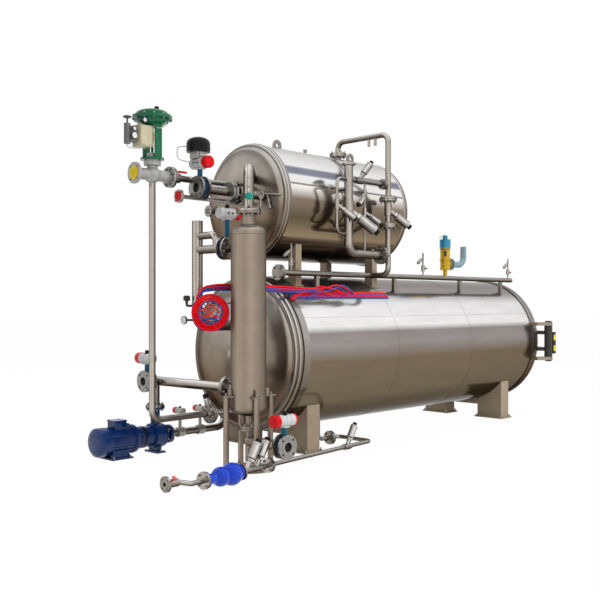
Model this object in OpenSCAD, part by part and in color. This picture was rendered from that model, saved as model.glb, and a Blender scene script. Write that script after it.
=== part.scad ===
/* [Retort vessel] */
// Height of the jacket above the floor
floor_gap = 175; // [120:5:260]
// Inside radius of the pressure shell
shell_r = 600; // [500:5:700]
// Wall of the pressure shell
shell_t = 10; // [6:1:14]
// Thickness of the insulation and its cladding
insulation_t = 55; // [40:1:80]
// Length of the jacket between rear ring and mouth flange
jacket_len = 3570; // [3000:10:4200]
// Crown radius of the rear head
rear_crown = 1300; // [1150:10:1500]
// Knuckle radius of the rear head
rear_knuckle = 90; // [80:5:140]
// Wall of the rear head with its insulation
rear_head_t = 25; // [15:1:40]
// Straight skirt of the rear head inside the rear ring
rear_skirt = 32; // [28:1:60]
// Width of the flat band of the rear ring
ring_band = 70; // [50:1:90]
// Bead radius of the rear ring
ring_bead_r = 26; // [18:1:28]

/* [Door] */
// Thickness of the mouth flange
mouth_t = 50; // [35:1:70]
// Width by which mouth flange and door rim stand out of the jacket
rim_out = 9; // [5:1:24]
// Thickness of the sealing ring that stands out of the mouth flange
gasket_t = 5; // [4:0.1:8]
// Thickness of the door rim
door_rim_t = 45; // [30:1:60]
// Crown radius of the door
door_crown = 1000; // [900:10:1300]
// Knuckle radius of the door
door_knuckle = 100; // [70:5:130]
// Wall of the door
door_t = 16; // [10:1:24]
// Distance of the hinge pin outside the door rim
hinge_out = 96; // [80:1:140]
// Distance of the hinge pin in front of the mouth flange
hinge_ahead = 110; // [95:1:140]
// Radius of the hinge pin
hinge_pin_r = 24; // [16:1:30]
// Height of the hinge pin
hinge_h = 450; // [380:5:520]
// Wall of the hinge sleeve
hinge_wall = 20; // [14:1:26]
// Thickness of hinge lugs and arm plates
lug_t = 36; // [24:1:44]

/* [Saddles and rails] */
// Distance of each saddle from the end of the retort shell
saddle_in = 270; // [220:10:500]
// Width of a saddle leg along the retort
leg_w = 150; // [120:5:200]
// Depth of a saddle leg across the retort
leg_d = 300; // [240:5:340]
// Distance of a basket rail from the retort axis
rail_y = 260; // [200:5:320]
// Width of a basket rail
rail_w = 40; // [30:1:60]
// Height of a basket rail above the shell
rail_h = 70; // [50:1:90]

/* [Hot water tank] */
// Gap between the retort jacket and the tank
tank_gap = 135; // [90:5:200]
// Outside radius of the tank
tank_r = 495; // [440:1:540]
// Wall of the tank with its insulation
tank_t = 20; // [14:1:30]
// Length of the tank between its end rings
tank_len = 1500; // [1300:10:1800]
// Crown radius of the tank heads
tank_crown = 1100; // [1000:10:1300]
// Knuckle radius of the tank heads
tank_knuckle = 80; // [60:5:120]
// Bead radius of the tank rings
tank_bead_r = 22; // [16:1:26]
// Distance of the tank from the rear ring of the retort
tank_x = 24; // [0:1:60]
// Width of a tank support block along the tank
support_w = 70; // [60:5:150]
// Depth of a tank support block across the tank
support_d = 90; // [70:5:140]
// Radius of the holes in the lifting lugs
lug_eye_r = 18; // [14:1:22]

/* [Column] */
// Distance of the column behind the rear ring
column_back = 571; // [540:1:640]
// Distance of the column from the retort axis
column_y = 620; // [600:1:680]
// Outside radius of the column
column_r = 136; // [120:1:150]
// Height of the column bottom seam
column_z0 = 480; // [460:5:520]
// Height of the column shell
column_h = 1314; // [1200:2:1400]
// Wall of the column
column_t = 8; // [5:1:12]
// Radius of a stand post
post_r = 22; // [18:1:28]

/* [Pipes] */
// Outside radius of the thin pipes
pipe_s = 17; // [14:0.5:20]
// Outside radius of the middle pipes
pipe_m = 25; // [22:0.5:29]
// Outside radius of the wide pipes
pipe_l = 38; // [35:0.5:42]
// Wall of the pipes where they are open
pipe_wall = 3; // [2:0.5:5]
// Thickness of pipe flanges
flange_t = 16; // [12:1:20]
// Radius of the thin pipe flanges
flange_s = 53; // [48:1:58]
// Radius of the middle pipe flanges
flange_m = 80; // [74:1:86]
// Radius of the wide pipe flanges
flange_l = 92; // [86:1:100]
// Height of the header pipe above the top of the jacket
header_up = 15; // [0:1:60]
// Distance of the header pipe from the retort axis
header_y = 400; // [380:1:430]
// Distance of the steam riser behind the rear ring
riser_back = 1161; // [1120:1:1200]
// Distance of the steam riser from the retort axis
riser_y = 200; // [180:1:230]
// Height of the control valve port above the tank axis
control_up = 91; // [80:1:120]

/* [Pump] */
// Height of the pump shaft above the floor
pump_z = 142; // [136:1:170]
// Distance of the pump shaft from the retort axis, away from the column
pump_y = 500; // [480:1:530]
// Radius of the motor body
motor_r = 114; // [105:1:120]
// Length of the motor body
motor_len = 330; // [300:5:360]
// Radius of the pump volute
volute_r = 105; // [90:1:115]

/* [Hidden] */
$fn = 72;
// Facets of the wide cutting cylinders
wide_fn = 180;

// Seats and clearances
seat_gap = 0.3;
run_gap = 0.05;
swing_gap = 6;
weld_w = 4;
weld_h = 1;
overrun = 1;

// Retort: x = 0 at the rear edge of the rear ring, y = 0 at its axis
shell_out = shell_r + shell_t;
jacket_r = shell_out + insulation_t;
rim_r = jacket_r + rim_out;
axis_z = floor_gap + jacket_r;
jacket_top = axis_z + jacket_r;
jacket_x = ring_band;
mouth_x = jacket_x + jacket_len;
mouth_face = mouth_x + mouth_t;
ring_step = 15;
ring_back = 60;
head_r = shell_out + ring_step;
band_step = 3;
pad_t = 14;
rear_saddle_x = saddle_in;
front_saddle_x = mouth_x - saddle_in - 50;
leg_out = jacket_r - 160;

// Door and hinge
door_x = mouth_face + gasket_t;
door_r = shell_r + door_t;
door_skirt = 12;
door_depth = door_skirt + dish_depth(door_r, door_crown, door_knuckle);
gasket_in = 18;
gasket_w = 30;
hinge_x = mouth_face + hinge_ahead;
hinge_y = rim_r + hinge_out;
eye_r = hinge_pin_r + hinge_wall;
pin_end = 15;
lug_low = axis_z - hinge_h / 2 + pin_end;
lug_high = axis_z + hinge_h / 2 - pin_end - lug_t;
lug_heel = 50;
sleeve_gap = 2;
arm_plate_dz = 92;
arm_reach = 80;
arm_x = door_x + door_rim_t + door_depth + arm_reach;
block_size = [56, 70, 240];
block_drop = 20;

// Hot water tank
tank_z = jacket_top + tank_gap + tank_r;
tank_end = tank_x + tank_len;
tank_step = 14;
tank_head_r = tank_r - tank_step;
tank_skirt = 34;
tank_ring_w = 50;
support_in = 240;
support_y = 0.586 * tank_r;
lug_w = 100;
lug_t_eye = 14;
lug_h = 47.5;
lug_sink = 10;
lug_places = [tank_x + 306, tank_end - 207];
vent_x = tank_end - 381;
vent_y = -tank_r - 115;
vent_z = tank_z + tank_r + 170;
vent_turn = 70;
vent_flange_top = 50;
vent_flange_up = 71;
vent_flange_down = 169;
vent_stubs = [385, 460];
vent_stub_len = 85;
stub_r = 13;
manifold_x = vent_x - 543;
manifold_y = vent_y;
manifold_top = tank_z + 320;
manifold_low = tank_z - 440;
manifold_turn = 85;
loop_dx = 150;
loop_r = 13;
loop_turn = 55;
loop_low = tank_z - 275;
manifold_stubs = [tank_z + 120, tank_z - 190];
cap_flange_r = 60;
cross_run_z = tank_z + 200;
cross_run_r = 20;
cross_flange_r = 46;
cross_flange_in = 75;
low_flange_in = 105;
drop_x = manifold_x + 215;
drop_r = 9;

// Angle seat valves: seat, direction of the actuator, direction and radius of the pipe, scale
lean = [0.55, -0.5, -0.6];
upright = [0.5, 0, 0.87];
angle_neck = 105;
angle_neck_r = 22;
angle_head_r = 36;
angle_head_len = 130;
angle_tip = 20;
angle_sleeve = 55;
angle_wall = 9;

// Header on the retort
header_z = jacket_top + header_up;
header_x = -20;
header_len = mouth_x;
header_flange_r = 66;
header_posts = [420, 1500, 2600, mouth_x - 240];
post_w = 40;
post_d = 30;
header_valve_places = [110, 1960, mouth_x - 80];
safety_x = 2340;
safety_z = header_z + 145;
safety_out = 80;
safety_reach = 330;
safety_rise = 190;
safety_pipe_r = 32;
air_tube_r = 6;
air_len = 1250;
air_first = 39;
air_step = 1.15;
air_red = [0, 1, 3, 4];
air_blue = [2, 5];

// Column
column_x = -column_back;
column_z1 = column_z0 + column_h;
dome_crown = 230;
dome_knuckle = 40;
dome_skirt = 10;
dome_depth = dome_skirt + dish_depth(column_r, dome_crown, dome_knuckle);
neck_r = 52;
neck_rise = 80;
top_flange_r = 95;
top_flange_z = column_z1 + dome_depth + neck_rise;
vapour_r = 40;
vapour_z = tank_z + 170;
vapour_turn = 80;
post_ring = column_r + post_r + 21;
post_turn = -22.5;
plate_z = axis_z - 284;
plate_w = 80;
plate_t = 8;
plate_lip = 10;
gusset_h = 60;
gusset_w = 40;
base_t = 12;
nozzle_flange_z = column_z0 - 180;
nozzle_low = 60;
hook_r = 8;
hook_turn = 12;
hook_spare = 14;
coil_r = 145;
coil_in = 82;
coil_w = 64;
coil_off = 8;
coil_side = unit([-0.77, 0.64, 0]);
coil_dir = unit([-0.64, -0.77, 0]);
coil_at = [column_x, -column_y, 1194] + coil_side * (column_r + coil_r + coil_off);

// Valves: wafer with a neck and a pneumatic actuator
wafer_t = 46;
wafer_r = 76;
neck_rod_r = 20;
neck_h = 150;
long_neck_h = 230;
actuator_r = 42;
actuator_half = 82;
cap_len = 36;
cap_r = 45;
knob_r = 15;
knob_h = 22;
flange_pcd = 145;
flange_bolt_r = 9;
flange_bolts = 4;

// Lines behind the retort
riser_x = -riser_back;
riser_low = axis_z - 450;
riser_turn = 70;
steam_flange_x = -603;
control_z = tank_z + control_up;
control_face = 165;
control_r = 64;
control_pcd = 125;
bonnet_r = 64;
bonnet_z = 70;
bonnet_t = 40;
bonnet_neck_r = 40;
bonnet_top = 160;
yoke_y = 75;
yoke_w = 60;
yoke_t = 14;
casing_z = 426;
casing_rim_r = 150;
casing_rim_t = 24;
casing_r = 126;
casing_crown = 300;
casing_knuckle = 40;
inlet_y = -300;
inlet_z = tank_z + 19;
inlet_face = -825;
upper_at = [inlet_face + flange_t + wafer_t / 2, inlet_y, inlet_z];
inlet_flange_x = -420;
blank_x = -920;
blank_y = -200;
blank_z = tank_z - 46;
outlet_z = axis_z - 233;
sluice_z = 215;
sluice_y = -1050;
sluice_at = [column_x, sluice_y + flange_t + wafer_t / 2, sluice_z];
overflow_r = 44;
overflow_turn = 90;
overflow_low = axis_z + 240;
cross_r = 34;
cross_z = column_z1 - 97;
cross_at = [column_x, -370, cross_z];
bypass_y = -240;
bypass_z = cross_z + 113;
overflow_top = cross_z + 238;

// Pump
pump_x = -627;
pump_top = 243;
pump_out = 135;
pump_inlet_r = 46;
pump_flange_r = 78;
volute_half = 62;
lantern_len = 235;
lantern_r = 84;
outlet_face = -750;
outlet_at = [outlet_face + flange_t + wafer_t / 2, pump_y, outlet_z];
tee_bulge = 5;
suction_r = 32;
suction_x = 135;
suction_turn = 80;
tap_places = [-363, -140];
tap_r = 14;
tap_scale = 0.62;

// Floor line, on a straight run that is not quite along the retort
drain_z = 82;
drain_x = -1640;
drain_inlet_at = [drain_x, -1000, 100];
drain_start = [-1342, -1020, drain_z];
drain_corner = [711, -760, drain_z];
drain_dir = unit(drain_corner - drain_start);
drain_turn = 50;
strainer_len = 358;
lobe_r = 80;
lobe_small_r = 68;
lobe_1 = 158;
lobe_2 = 270;
strainer_neck_r = 36;
strainer_flange_r = 60;
drain_pcd = 77;
drain_bolt_r = 7;
drain_flange_at = 690;
drain_valves = [442, 545, 1710];
under_y = -390;
under_flange_x = 600;
under_end = 450;
angle_list = [
    [[manifold_x, manifold_y, tank_z - 60], lean, [0, 0, 1], pipe_l, 1.25],
    [[manifold_x - loop_dx, manifold_y, tank_z - 30], lean, [0, 0, 1], loop_r, 0.8],
    [[manifold_x + 130, manifold_y, cross_run_z], [0.5, -0.3, 0.8], [1, 0, 0], cross_run_r, 0.8],
    [[drop_x, manifold_y, tank_z + 90], [-0.7, -0.2, -0.6], [0, 0, 1], drop_r, 0.7],
    [[drop_x, manifold_y, tank_z - 70], [0.6, -0.4, -0.5], [0, 0, 1], drop_r, 0.7],
    [[vent_x, vent_y, tank_z - 20], lean, [0, 0, 1], pipe_m, 1],
    [drain_at(drain_valves[0]), upright, drain_dir, pipe_s, 0.9],
    [drain_at(drain_valves[1]), upright, drain_dir, pipe_s, 0.9],
    [drain_at(drain_valves[2]), upright, drain_dir, pipe_s, 0.8]
];

// Butterfly valves: centre, direction of flow, direction of the actuator cap, bore, neck height, knob on top
butterfly_list = [
    [upper_at, [1, 0, 0], [0, -1, 0], 0, neck_h, false],
    [outlet_at, [1, 0, 0], [0, 1, 0], 0, neck_h, true],
    [sluice_at, [0, 1, 0], [-1, 0, 0], 0, neck_h, true],
    [cross_at, [0, 1, 0], [1, 0, 0], cross_r + seat_gap, long_neck_h, true]
];
lever_list = [
    [[-945, -riser_y, control_z], pipe_m + 12, [1, 0, 0]],
    [drain_inlet_at + [70, 0, 0], pipe_s + 10, [-0.5, -0.9, 0]]
];
lever_len = 120;
lever_w = 22;
lever_t = 6;
lever_up = 16;
lever_stem_r = 7;
ball_half = 34;

// The origin lies on the floor, under the middle of the whole machine
front_y = drain_start[1] + drain_dir[1] * (flange_t + lobe_2) - lobe_r;
mid_x = (drain_x + arm_x) / 2;
mid_y = (rim_r + front_y) / 2;

function unit(v) = v / norm(v);
function dish_drop(r, crown, knuckle) = sqrt(pow(crown - knuckle, 2) - pow(r - knuckle, 2));
function dish_depth(r, crown, knuckle) = crown - dish_drop(r, crown, knuckle);
function drain_at(d) = drain_start + drain_dir * d;
function level(parts, i) = i == 0 ? 0 : level(parts, i - 1) + parts[i - 1][1];

// Shifts the machine so that the origin is under its middle
module place() {
    translate([-mid_x, -mid_y, 0]) children();
}

// Points the local z axis along d, at p
module toward(p, d) {
    u = unit(d);
    translate(p) rotate([0, acos(u[2]), atan2(u[1], u[0])]) children();
}

// Round bar from a to b
module rod(a, b, r) {
    toward(a, b - a) cylinder(r = r, h = norm(b - a));
}

// Block from the corner p, of the size s
module block(p, s) {
    translate(p) cube(s);
}

// Ring profile of radii r0 to r1 between stations a and b
module strip(r0, r1, a, b) {
    translate([r0, a]) square([r1 - r0, b - a]);
}

// Profile of discs piled up, each given as radius and height
module stack(parts) {
    for (i = [0:len(parts) - 1]) strip(0, parts[i][0], level(parts, i), level(parts, i + 1));
}

// Revolved profile whose stations run along +X from the point p
module spin_x(p, facets = $fn) {
    translate(p) rotate([0, 90, 0]) rotate_extrude($fn = facets) children();
}

// Revolved profile whose stations run along -X from the point p
module spin_back(p, facets = $fn) {
    translate(p) rotate([0, -90, 0]) rotate_extrude($fn = facets) children();
}

// Half section of a dished head: spherical crown and rounded knuckle
module dish(r, crown, knuckle) {
    drop = dish_drop(r, crown, knuckle);
    far = [0, -drop] + 3 * crown * unit([r - knuckle, drop]);
    intersection() {
        union() {
            intersection() {
                translate([0, -drop]) circle(r = crown);
                polygon([[0, -drop], far, [0, far[1]]]);
            }
            translate([r - knuckle, 0]) circle(r = knuckle);
        }
        square([r, crown]);
    }
}

// Half section of a hollow dished head on a straight skirt
module dished_wall(r, t, crown, knuckle, skirt) {
    difference() {
        union() {
            square([r, skirt]);
            translate([0, skirt]) dish(r, crown, knuckle);
        }
        square([r - t, skirt]);
        translate([0, skirt]) dish(r - t, crown - t, knuckle - t);
    }
}

// Elbow at the corner p, between the directions d1 and d2
module elbow(p, d1, d2, r, turn) {
    angle = acos(d1 * d2);
    side = unit(d2 - d1 * (d1 * d2));
    c = p - d1 * turn * tan(angle / 2) + side * turn;
    z = cross(-side, d1);
    multmatrix([
        [-side[0], d1[0], z[0], c[0]],
        [-side[1], d1[1], z[1], c[1]],
        [-side[2], d1[2], z[2], c[2]],
        [0, 0, 0, 1]
    ]) rotate_extrude(angle = angle) translate([turn, 0]) circle(r = r);
}

// Pipe along the points, with elbows and a weld bead at each elbow end
module pipe(points, r, turn) {
    last = len(points) - 1;
    dirs = [for (i = [0:last - 1]) unit(points[i + 1] - points[i])];
    trim = [for (i = [0:last]) i == 0 || i == last ? 0 : turn * tan(acos(dirs[i - 1] * dirs[i]) / 2)];
    for (i = [0:last - 1]) {
        a = points[i] + dirs[i] * trim[i];
        b = points[i + 1] - dirs[i] * trim[i + 1];
        rod(a, b, r);
        if (i > 0) rod(a - dirs[i] * weld_w / 2, a + dirs[i] * weld_w / 2, r + weld_h);
        if (i < last - 1) rod(b - dirs[i] * weld_w / 2, b + dirs[i] * weld_w / 2, r + weld_h);
    }
    for (i = [1:1:last - 1]) elbow(points[i], dirs[i - 1], dirs[i], r, turn);
}

// Pair of bolted flanges centred on p, across the direction d
module flange_pair(p, d, r) {
    toward(p - unit(d) * flange_t, d) cylinder(r = r, h = 2 * flange_t);
}

// One flange that starts at p and lies toward d
module flange(p, d, r) {
    toward(p, d) cylinder(r = r, h = flange_t);
}

// Ring of bolt holes on the circle pcd, drilled through a flange at the local origin
module bolt_holes(pcd, count, hole_r) {
    for (i = [0:count - 1]) rotate([0, 0, 360 / count * (i + 0.5)])
        translate([pcd / 2, 0, -flange_t]) cylinder(r = hole_r, h = 3 * flange_t, $fn = 24);
}

// Open flange whose outer face is across d at p
module open_flange(p, d) {
    toward(p, -d) difference() {
        cylinder(r = flange_l, h = flange_t);
        translate([0, 0, -overrun]) cylinder(r = pipe_l - pipe_wall, h = flange_t + 2 * overrun);
        bolt_holes(flange_pcd, flange_bolts, flange_bolt_r);
    }
}

// Cylinder along X that clears the jacket of the retort
module jacket_cut() {
    translate([-mouth_x, 0, axis_z]) rotate([0, 90, 0])
        cylinder(r = jacket_r + seat_gap, h = 3 * mouth_x, $fn = wide_fn);
}

// Solid that clears the dished rear end of the retort
module rear_cut() {
    spin_back([0, 0, axis_z], wide_fn) {
        square([head_r + seat_gap, rear_skirt]);
        translate([0, rear_skirt]) dish(head_r + seat_gap, rear_crown + seat_gap, rear_knuckle + seat_gap);
    }
}

// Cylinder along X that clears the hot water tank
module tank_cut() {
    translate([tank_x, 0, tank_z]) rotate([0, 90, 0])
        cylinder(r = tank_r + seat_gap, h = tank_len, $fn = wide_fn);
}

// Solid that clears the rear head of the hot water tank
module tank_head_cut() {
    spin_back([tank_x, 0, tank_z], wide_fn) {
        square([tank_head_r + seat_gap, tank_skirt]);
        translate([0, tank_skirt]) dish(tank_head_r + seat_gap, tank_crown + seat_gap, tank_knuckle + seat_gap);
    }
}

// Cylinder that clears the column
module column_cut() {
    translate([column_x, -column_y, column_z0]) cylinder(r = column_r + seat_gap, h = column_h);
}

// Cylinder that clears the header pipe
module header_cut() {
    rod([-mouth_x, -header_y, header_z], [2 * mouth_x, -header_y, header_z], pipe_m + seat_gap);
}

// Cylinder that clears the falling leg of the vent pipe
module vent_cut() {
    rod([vent_x, vent_y, header_z], [vent_x, vent_y, vent_z], pipe_m + seat_gap);
}

module retort_shell() {
    color("silver") place() spin_x([0, 0, axis_z]) strip(shell_r, shell_out, 0, mouth_x);
}

module retort_jacket() {
    color("gainsboro") place() spin_x([0, 0, axis_z])
        strip(shell_out + seat_gap, jacket_r, jacket_x, mouth_x);
}

module rear_head() {
    color("tan") place() spin_back([0, 0, axis_z])
        dished_wall(head_r, rear_head_t, rear_crown, rear_knuckle, rear_skirt);
}

module rear_ring() {
    seat = head_r + seat_gap;
    color("silver") place() spin_x([0, 0, axis_z]) {
        strip(shell_out + seat_gap, jacket_r + band_step, 0, ring_band);
        strip(seat, seat + ring_bead_r / 2, -ring_back, 0);
        intersection() {
            union() {
                translate([seat + ring_bead_r / 2, -ring_bead_r * 0.8]) circle(r = ring_bead_r);
                translate([seat, -ring_back]) circle(r = ring_bead_r);
            }
            strip(seat, jacket_r, -ring_back - ring_bead_r, 0);
        }
    }
}

module mouth_flange() {
    color("silver") place() spin_x([0, 0, axis_z]) strip(shell_r, rim_r, mouth_x, mouth_face);
}

module door_gasket() {
    groove = shell_r + gasket_in;
    color("black") place() spin_x([0, 0, axis_z])
        strip(groove, groove + gasket_w, mouth_face, door_x - seat_gap);
}

module door() {
    color("silver") place() spin_x([door_x, 0, axis_z]) {
        strip(shell_r, rim_r, 0, door_rim_t);
        translate([0, door_rim_t]) dished_wall(door_r, door_t, door_crown, door_knuckle, door_skirt);
    }
}

module hinge_lug() {
    linear_extrude(lug_t) {
        polygon([
            [mouth_x, -shell_r],
            [mouth_face, -shell_r],
            [mouth_face, -rim_r - swing_gap],
            [hinge_x, -hinge_y + eye_r],
            [hinge_x, -hinge_y - eye_r],
            [mouth_x, -rim_r - lug_heel]
        ]);
        translate([hinge_x, -hinge_y]) circle(r = eye_r);
    }
}

module hinge_bracket() {
    color("tan") place() difference() {
        for (z = [lug_low, lug_high]) translate([0, 0, z]) hinge_lug();
        spin_x([0, 0, axis_z], wide_fn) strip(0, rim_r + seat_gap, mouth_x - overrun, mouth_face + overrun);
        translate([hinge_x, -hinge_y, 0]) cylinder(r = hinge_pin_r + run_gap, h = 2 * axis_z);
    }
}

module hinge_pin() {
    color("gray") place() translate([hinge_x, -hinge_y, axis_z - hinge_h / 2])
        cylinder(r = hinge_pin_r, h = hinge_h);
}

module arm_plate() {
    linear_extrude(lug_t) polygon([
        [hinge_x - eye_r / 2, -hinge_y],
        [hinge_x + eye_r / 2, -hinge_y],
        [arm_x, -0.6 * shell_r],
        [arm_x, 0],
        [door_x + door_rim_t + door_depth / 2, 0],
        [door_x + door_rim_t + swing_gap, -shell_r],
        [door_x + door_rim_t + swing_gap, -rim_r]
    ]);
}

module door_arm() {
    low = lug_low + lug_t + sleeve_gap;
    high = lug_high - sleeve_gap;
    color("dimgray") place() difference() {
        union() {
            translate([hinge_x, -hinge_y, low]) cylinder(r = eye_r, h = high - low);
            for (side = [-1, 1]) translate([0, 0, axis_z + side * arm_plate_dz - lug_t / 2]) arm_plate();
            rod([door_x + door_rim_t, 0, axis_z], [arm_x, 0, axis_z], arm_plate_dz + lug_t / 2);
        }
        spin_x([door_x + door_rim_t + door_skirt, 0, axis_z], wide_fn)
            dish(door_r + seat_gap, door_crown + seat_gap, door_knuckle + seat_gap);
        spin_x([door_x, 0, axis_z], wide_fn) strip(0, door_r + seat_gap, 0, door_rim_t + door_skirt);
        translate([hinge_x, -hinge_y, 0]) cylinder(r = hinge_pin_r + run_gap, h = 2 * axis_z);
    }
}

module hinge_block() {
    corner = [hinge_x + eye_r * 0.6, -hinge_y - block_size[1] * 0.67, axis_z - block_size[2] / 2 - block_drop];
    color("black") place() difference() {
        block(corner, block_size);
        translate([hinge_x, -hinge_y, 0]) cylinder(r = eye_r + seat_gap, h = 2 * axis_z);
    }
}

module basket_rails() {
    low = axis_z - sqrt(shell_r * shell_r - rail_y * rail_y);
    color("silver") place() intersection() {
        for (side = [-1, 1])
            block([ring_band, side * rail_y - rail_w / 2, low - rail_h],
                  [jacket_len - ring_band, rail_w, 2 * rail_h]);
        translate([0, 0, axis_z]) rotate([0, 90, 0])
            cylinder(r = shell_r - seat_gap, h = mouth_x, $fn = wide_fn);
    }
}

module saddle(x) {
    difference() {
        union() {
            intersection() {
                block([x - leg_w / 2, -leg_out, 0], [leg_w, 2 * leg_out, axis_z]);
                translate([0, 0, axis_z]) rotate([0, 90, 0])
                    cylinder(r = jacket_r + pad_t, h = mouth_x, $fn = wide_fn);
            }
            for (side = [-1, 1])
                block([x - leg_w / 2, side * (leg_out - leg_d / 2) - leg_d / 2, 0], [leg_w, leg_d, axis_z]);
        }
        jacket_cut();
    }
}

module rear_saddle() {
    color("tan") place() saddle(rear_saddle_x);
}

module front_saddle() {
    color("tan") place() saddle(front_saddle_x);
}

module tank_shell() {
    color("gainsboro") place() spin_x([0, 0, tank_z]) strip(tank_r - tank_t, tank_r, tank_x, tank_end);
}

module tank_rear_head() {
    color("tan") place() spin_back([tank_x, 0, tank_z])
        dished_wall(tank_head_r, tank_t, tank_crown, tank_knuckle, tank_skirt);
}

module tank_front_head() {
    color("tan") place() spin_x([tank_end, 0, tank_z])
        dished_wall(tank_head_r, tank_t, tank_crown, tank_knuckle, tank_skirt);
}

module tank_ring_profile() {
    seat = tank_head_r + seat_gap;
    strip(seat, tank_r, 0, tank_ring_w);
    intersection() {
        union() {
            translate([seat, tank_bead_r]) circle(r = tank_bead_r);
            translate([seat - tank_bead_r / 3, tank_ring_w]) circle(r = tank_bead_r);
        }
        strip(seat, tank_r + tank_bead_r, 0, tank_ring_w + tank_bead_r);
    }
}

module tank_rings() {
    color("silver") place() {
        spin_back([tank_x, 0, tank_z]) tank_ring_profile();
        spin_x([tank_end, 0, tank_z]) tank_ring_profile();
    }
}

module tank_supports() {
    color("tan") place() difference() {
        for (x = [tank_x + support_in, tank_end - support_in], side = [-1, 1])
            block([x - support_w / 2, side * support_y - support_d / 2, axis_z],
                  [support_w, support_d, tank_z - axis_z]);
        jacket_cut();
        tank_cut();
    }
}

module lifting_lugs() {
    color("silver") place() difference() {
        for (x = lug_places) translate([x, lug_t_eye / 2, tank_z + tank_r - lug_sink]) rotate([90, 0, 0])
            linear_extrude(lug_t_eye) difference() {
                union() {
                    translate([-lug_w / 2, 0]) square([lug_w, lug_h]);
                    translate([0, lug_h]) circle(r = lug_w / 2);
                }
                translate([0, lug_h]) circle(r = lug_eye_r);
            }
        tank_cut();
    }
}

module vent_pipe() {
    color("silver") place() difference() {
        union() {
            pipe([
                [vent_x, 0, tank_z],
                [vent_x, 0, vent_z],
                [vent_x, vent_y, vent_z],
                [vent_x, vent_y, header_z],
                [vent_x, -header_y, header_z]
            ], pipe_m, vent_turn);
            for (y = vent_stubs) rod([vent_x, -y, vent_z], [vent_x, -y, vent_z - vent_stub_len], stub_r);
            flange_pair([vent_x, 0, tank_z + tank_r + vent_flange_top], [0, 0, 1], flange_m);
            flange_pair([vent_x, vent_y, tank_z + vent_flange_up], [0, 0, 1], flange_m);
            flange_pair([vent_x, vent_y, tank_z - vent_flange_down], [0, 0, 1], flange_m);
        }
        tank_cut();
        header_cut();
    }
}

module tank_manifold() {
    low_end = [vent_x - low_flange_in, manifold_y, manifold_low];
    color("silver") place() difference() {
        union() {
            pipe([
                [manifold_x, manifold_y, manifold_top],
                [manifold_x, manifold_y, manifold_low],
                low_end
            ], pipe_l, manifold_turn);
            flange([manifold_x, manifold_y, manifold_top], [0, 0, 1], cap_flange_r);
            flange_pair(low_end, [1, 0, 0], flange_m);
            rod(low_end, [vent_x, manifold_y, manifold_low], pipe_m - weld_h);
            for (z = manifold_stubs) rod([manifold_x, manifold_y, z], [manifold_x, 0, z], pipe_s);
            pipe([
                [manifold_x, manifold_y, cross_run_z],
                [manifold_x - loop_dx, manifold_y, cross_run_z],
                [manifold_x - loop_dx, manifold_y, loop_low],
                [manifold_x, manifold_y, loop_low]
            ], loop_r, loop_turn);
            rod([manifold_x, manifold_y, cross_run_z], [vent_x, manifold_y, cross_run_z], cross_run_r);
            flange_pair([vent_x - cross_flange_in, manifold_y, cross_run_z], [1, 0, 0], cross_flange_r);
            rod([drop_x, manifold_y, cross_run_z], [drop_x, manifold_y, manifold_low], drop_r);
        }
        tank_cut();
        vent_cut();
    }
}

module angle_valves() {
    color("silver") place() for (valve = angle_list) {
        p = valve[0];
        d = unit(valve[1]);
        along = valve[2];
        k = valve[4];
        difference() {
            union() {
                rod(p, p + d * angle_neck * k, angle_neck_r * k);
                rod(p - along * angle_sleeve * k, p + along * angle_sleeve * k, valve[3] + angle_wall);
            }
            rod(p - along * 2 * angle_sleeve, p + along * 2 * angle_sleeve, valve[3] + seat_gap);
        }
    }
}

module angle_actuators() {
    color("gainsboro") place() for (valve = angle_list) {
        d = unit(valve[1]);
        k = valve[4];
        toward(valve[0] + d * angle_neck * k, d) rotate_extrude()
            stack([[angle_head_r * k, angle_head_len * k], [0.6 * angle_head_r * k, angle_tip * k]]);
    }
}

module header_pipe() {
    start = [header_x, -header_y, header_z];
    color("silver") place() difference() {
        union() {
            rod(start, start + [header_len, 0, 0], pipe_m);
            rod(start, start - [2 * flange_t, 0, 0], header_flange_r);
            for (x = header_posts)
                block([x - post_w / 2, -header_y - post_d / 2, axis_z], [post_w, post_d, header_z - axis_z]);
        }
        jacket_cut();
    }
}

module header_valves() {
    tap = [[8, 60], [18, 60], [8, 70]];
    side_z = header_z + level(tap, 1) + tap[1][1] / 2;
    color("silver") place() difference() {
        for (x = header_valve_places) {
            translate([x, -header_y, header_z]) rotate_extrude() stack(tap);
            rod([x, -header_y, side_z], [x + tap[0][1], -header_y, side_z], 10);
        }
        header_cut();
    }
}

module safety_valve() {
    color("goldenrod") place() difference() {
        union() {
            translate([safety_x, -header_y, header_z]) rotate_extrude()
                stack([[22, 85], [50, 210], [56, 100], [26, 40]]);
            rod([safety_x, -header_y, safety_z], [safety_x + safety_out, -header_y, safety_z], safety_pipe_r);
        }
        header_cut();
    }
}

module safety_outlet() {
    face = [safety_x + safety_out, -header_y, safety_z];
    corner = [safety_x + safety_reach, -header_y, safety_z];
    color("lightsteelblue") place() {
        flange(face, [1, 0, 0], 62);
        pipe([face + [flange_t, 0, 0], corner, corner + [0, 0, safety_rise]], safety_pipe_r, 90);
    }
}

// Air tubes that lie on the shoulder of the jacket
module air_tubes(places) {
    ring = jacket_r + seat_gap + air_tube_r;
    for (i = places) {
        a = air_first + air_step * i;
        start = [ring_band, -ring * sin(a), axis_z + ring * cos(a)];
        rod(start, start + [air_len, 0, 0], air_tube_r);
    }
}

module air_lines_red() {
    color("red") place() air_tubes(air_red);
}

module air_lines_blue() {
    color("blue") place() air_tubes(air_blue);
}

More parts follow.
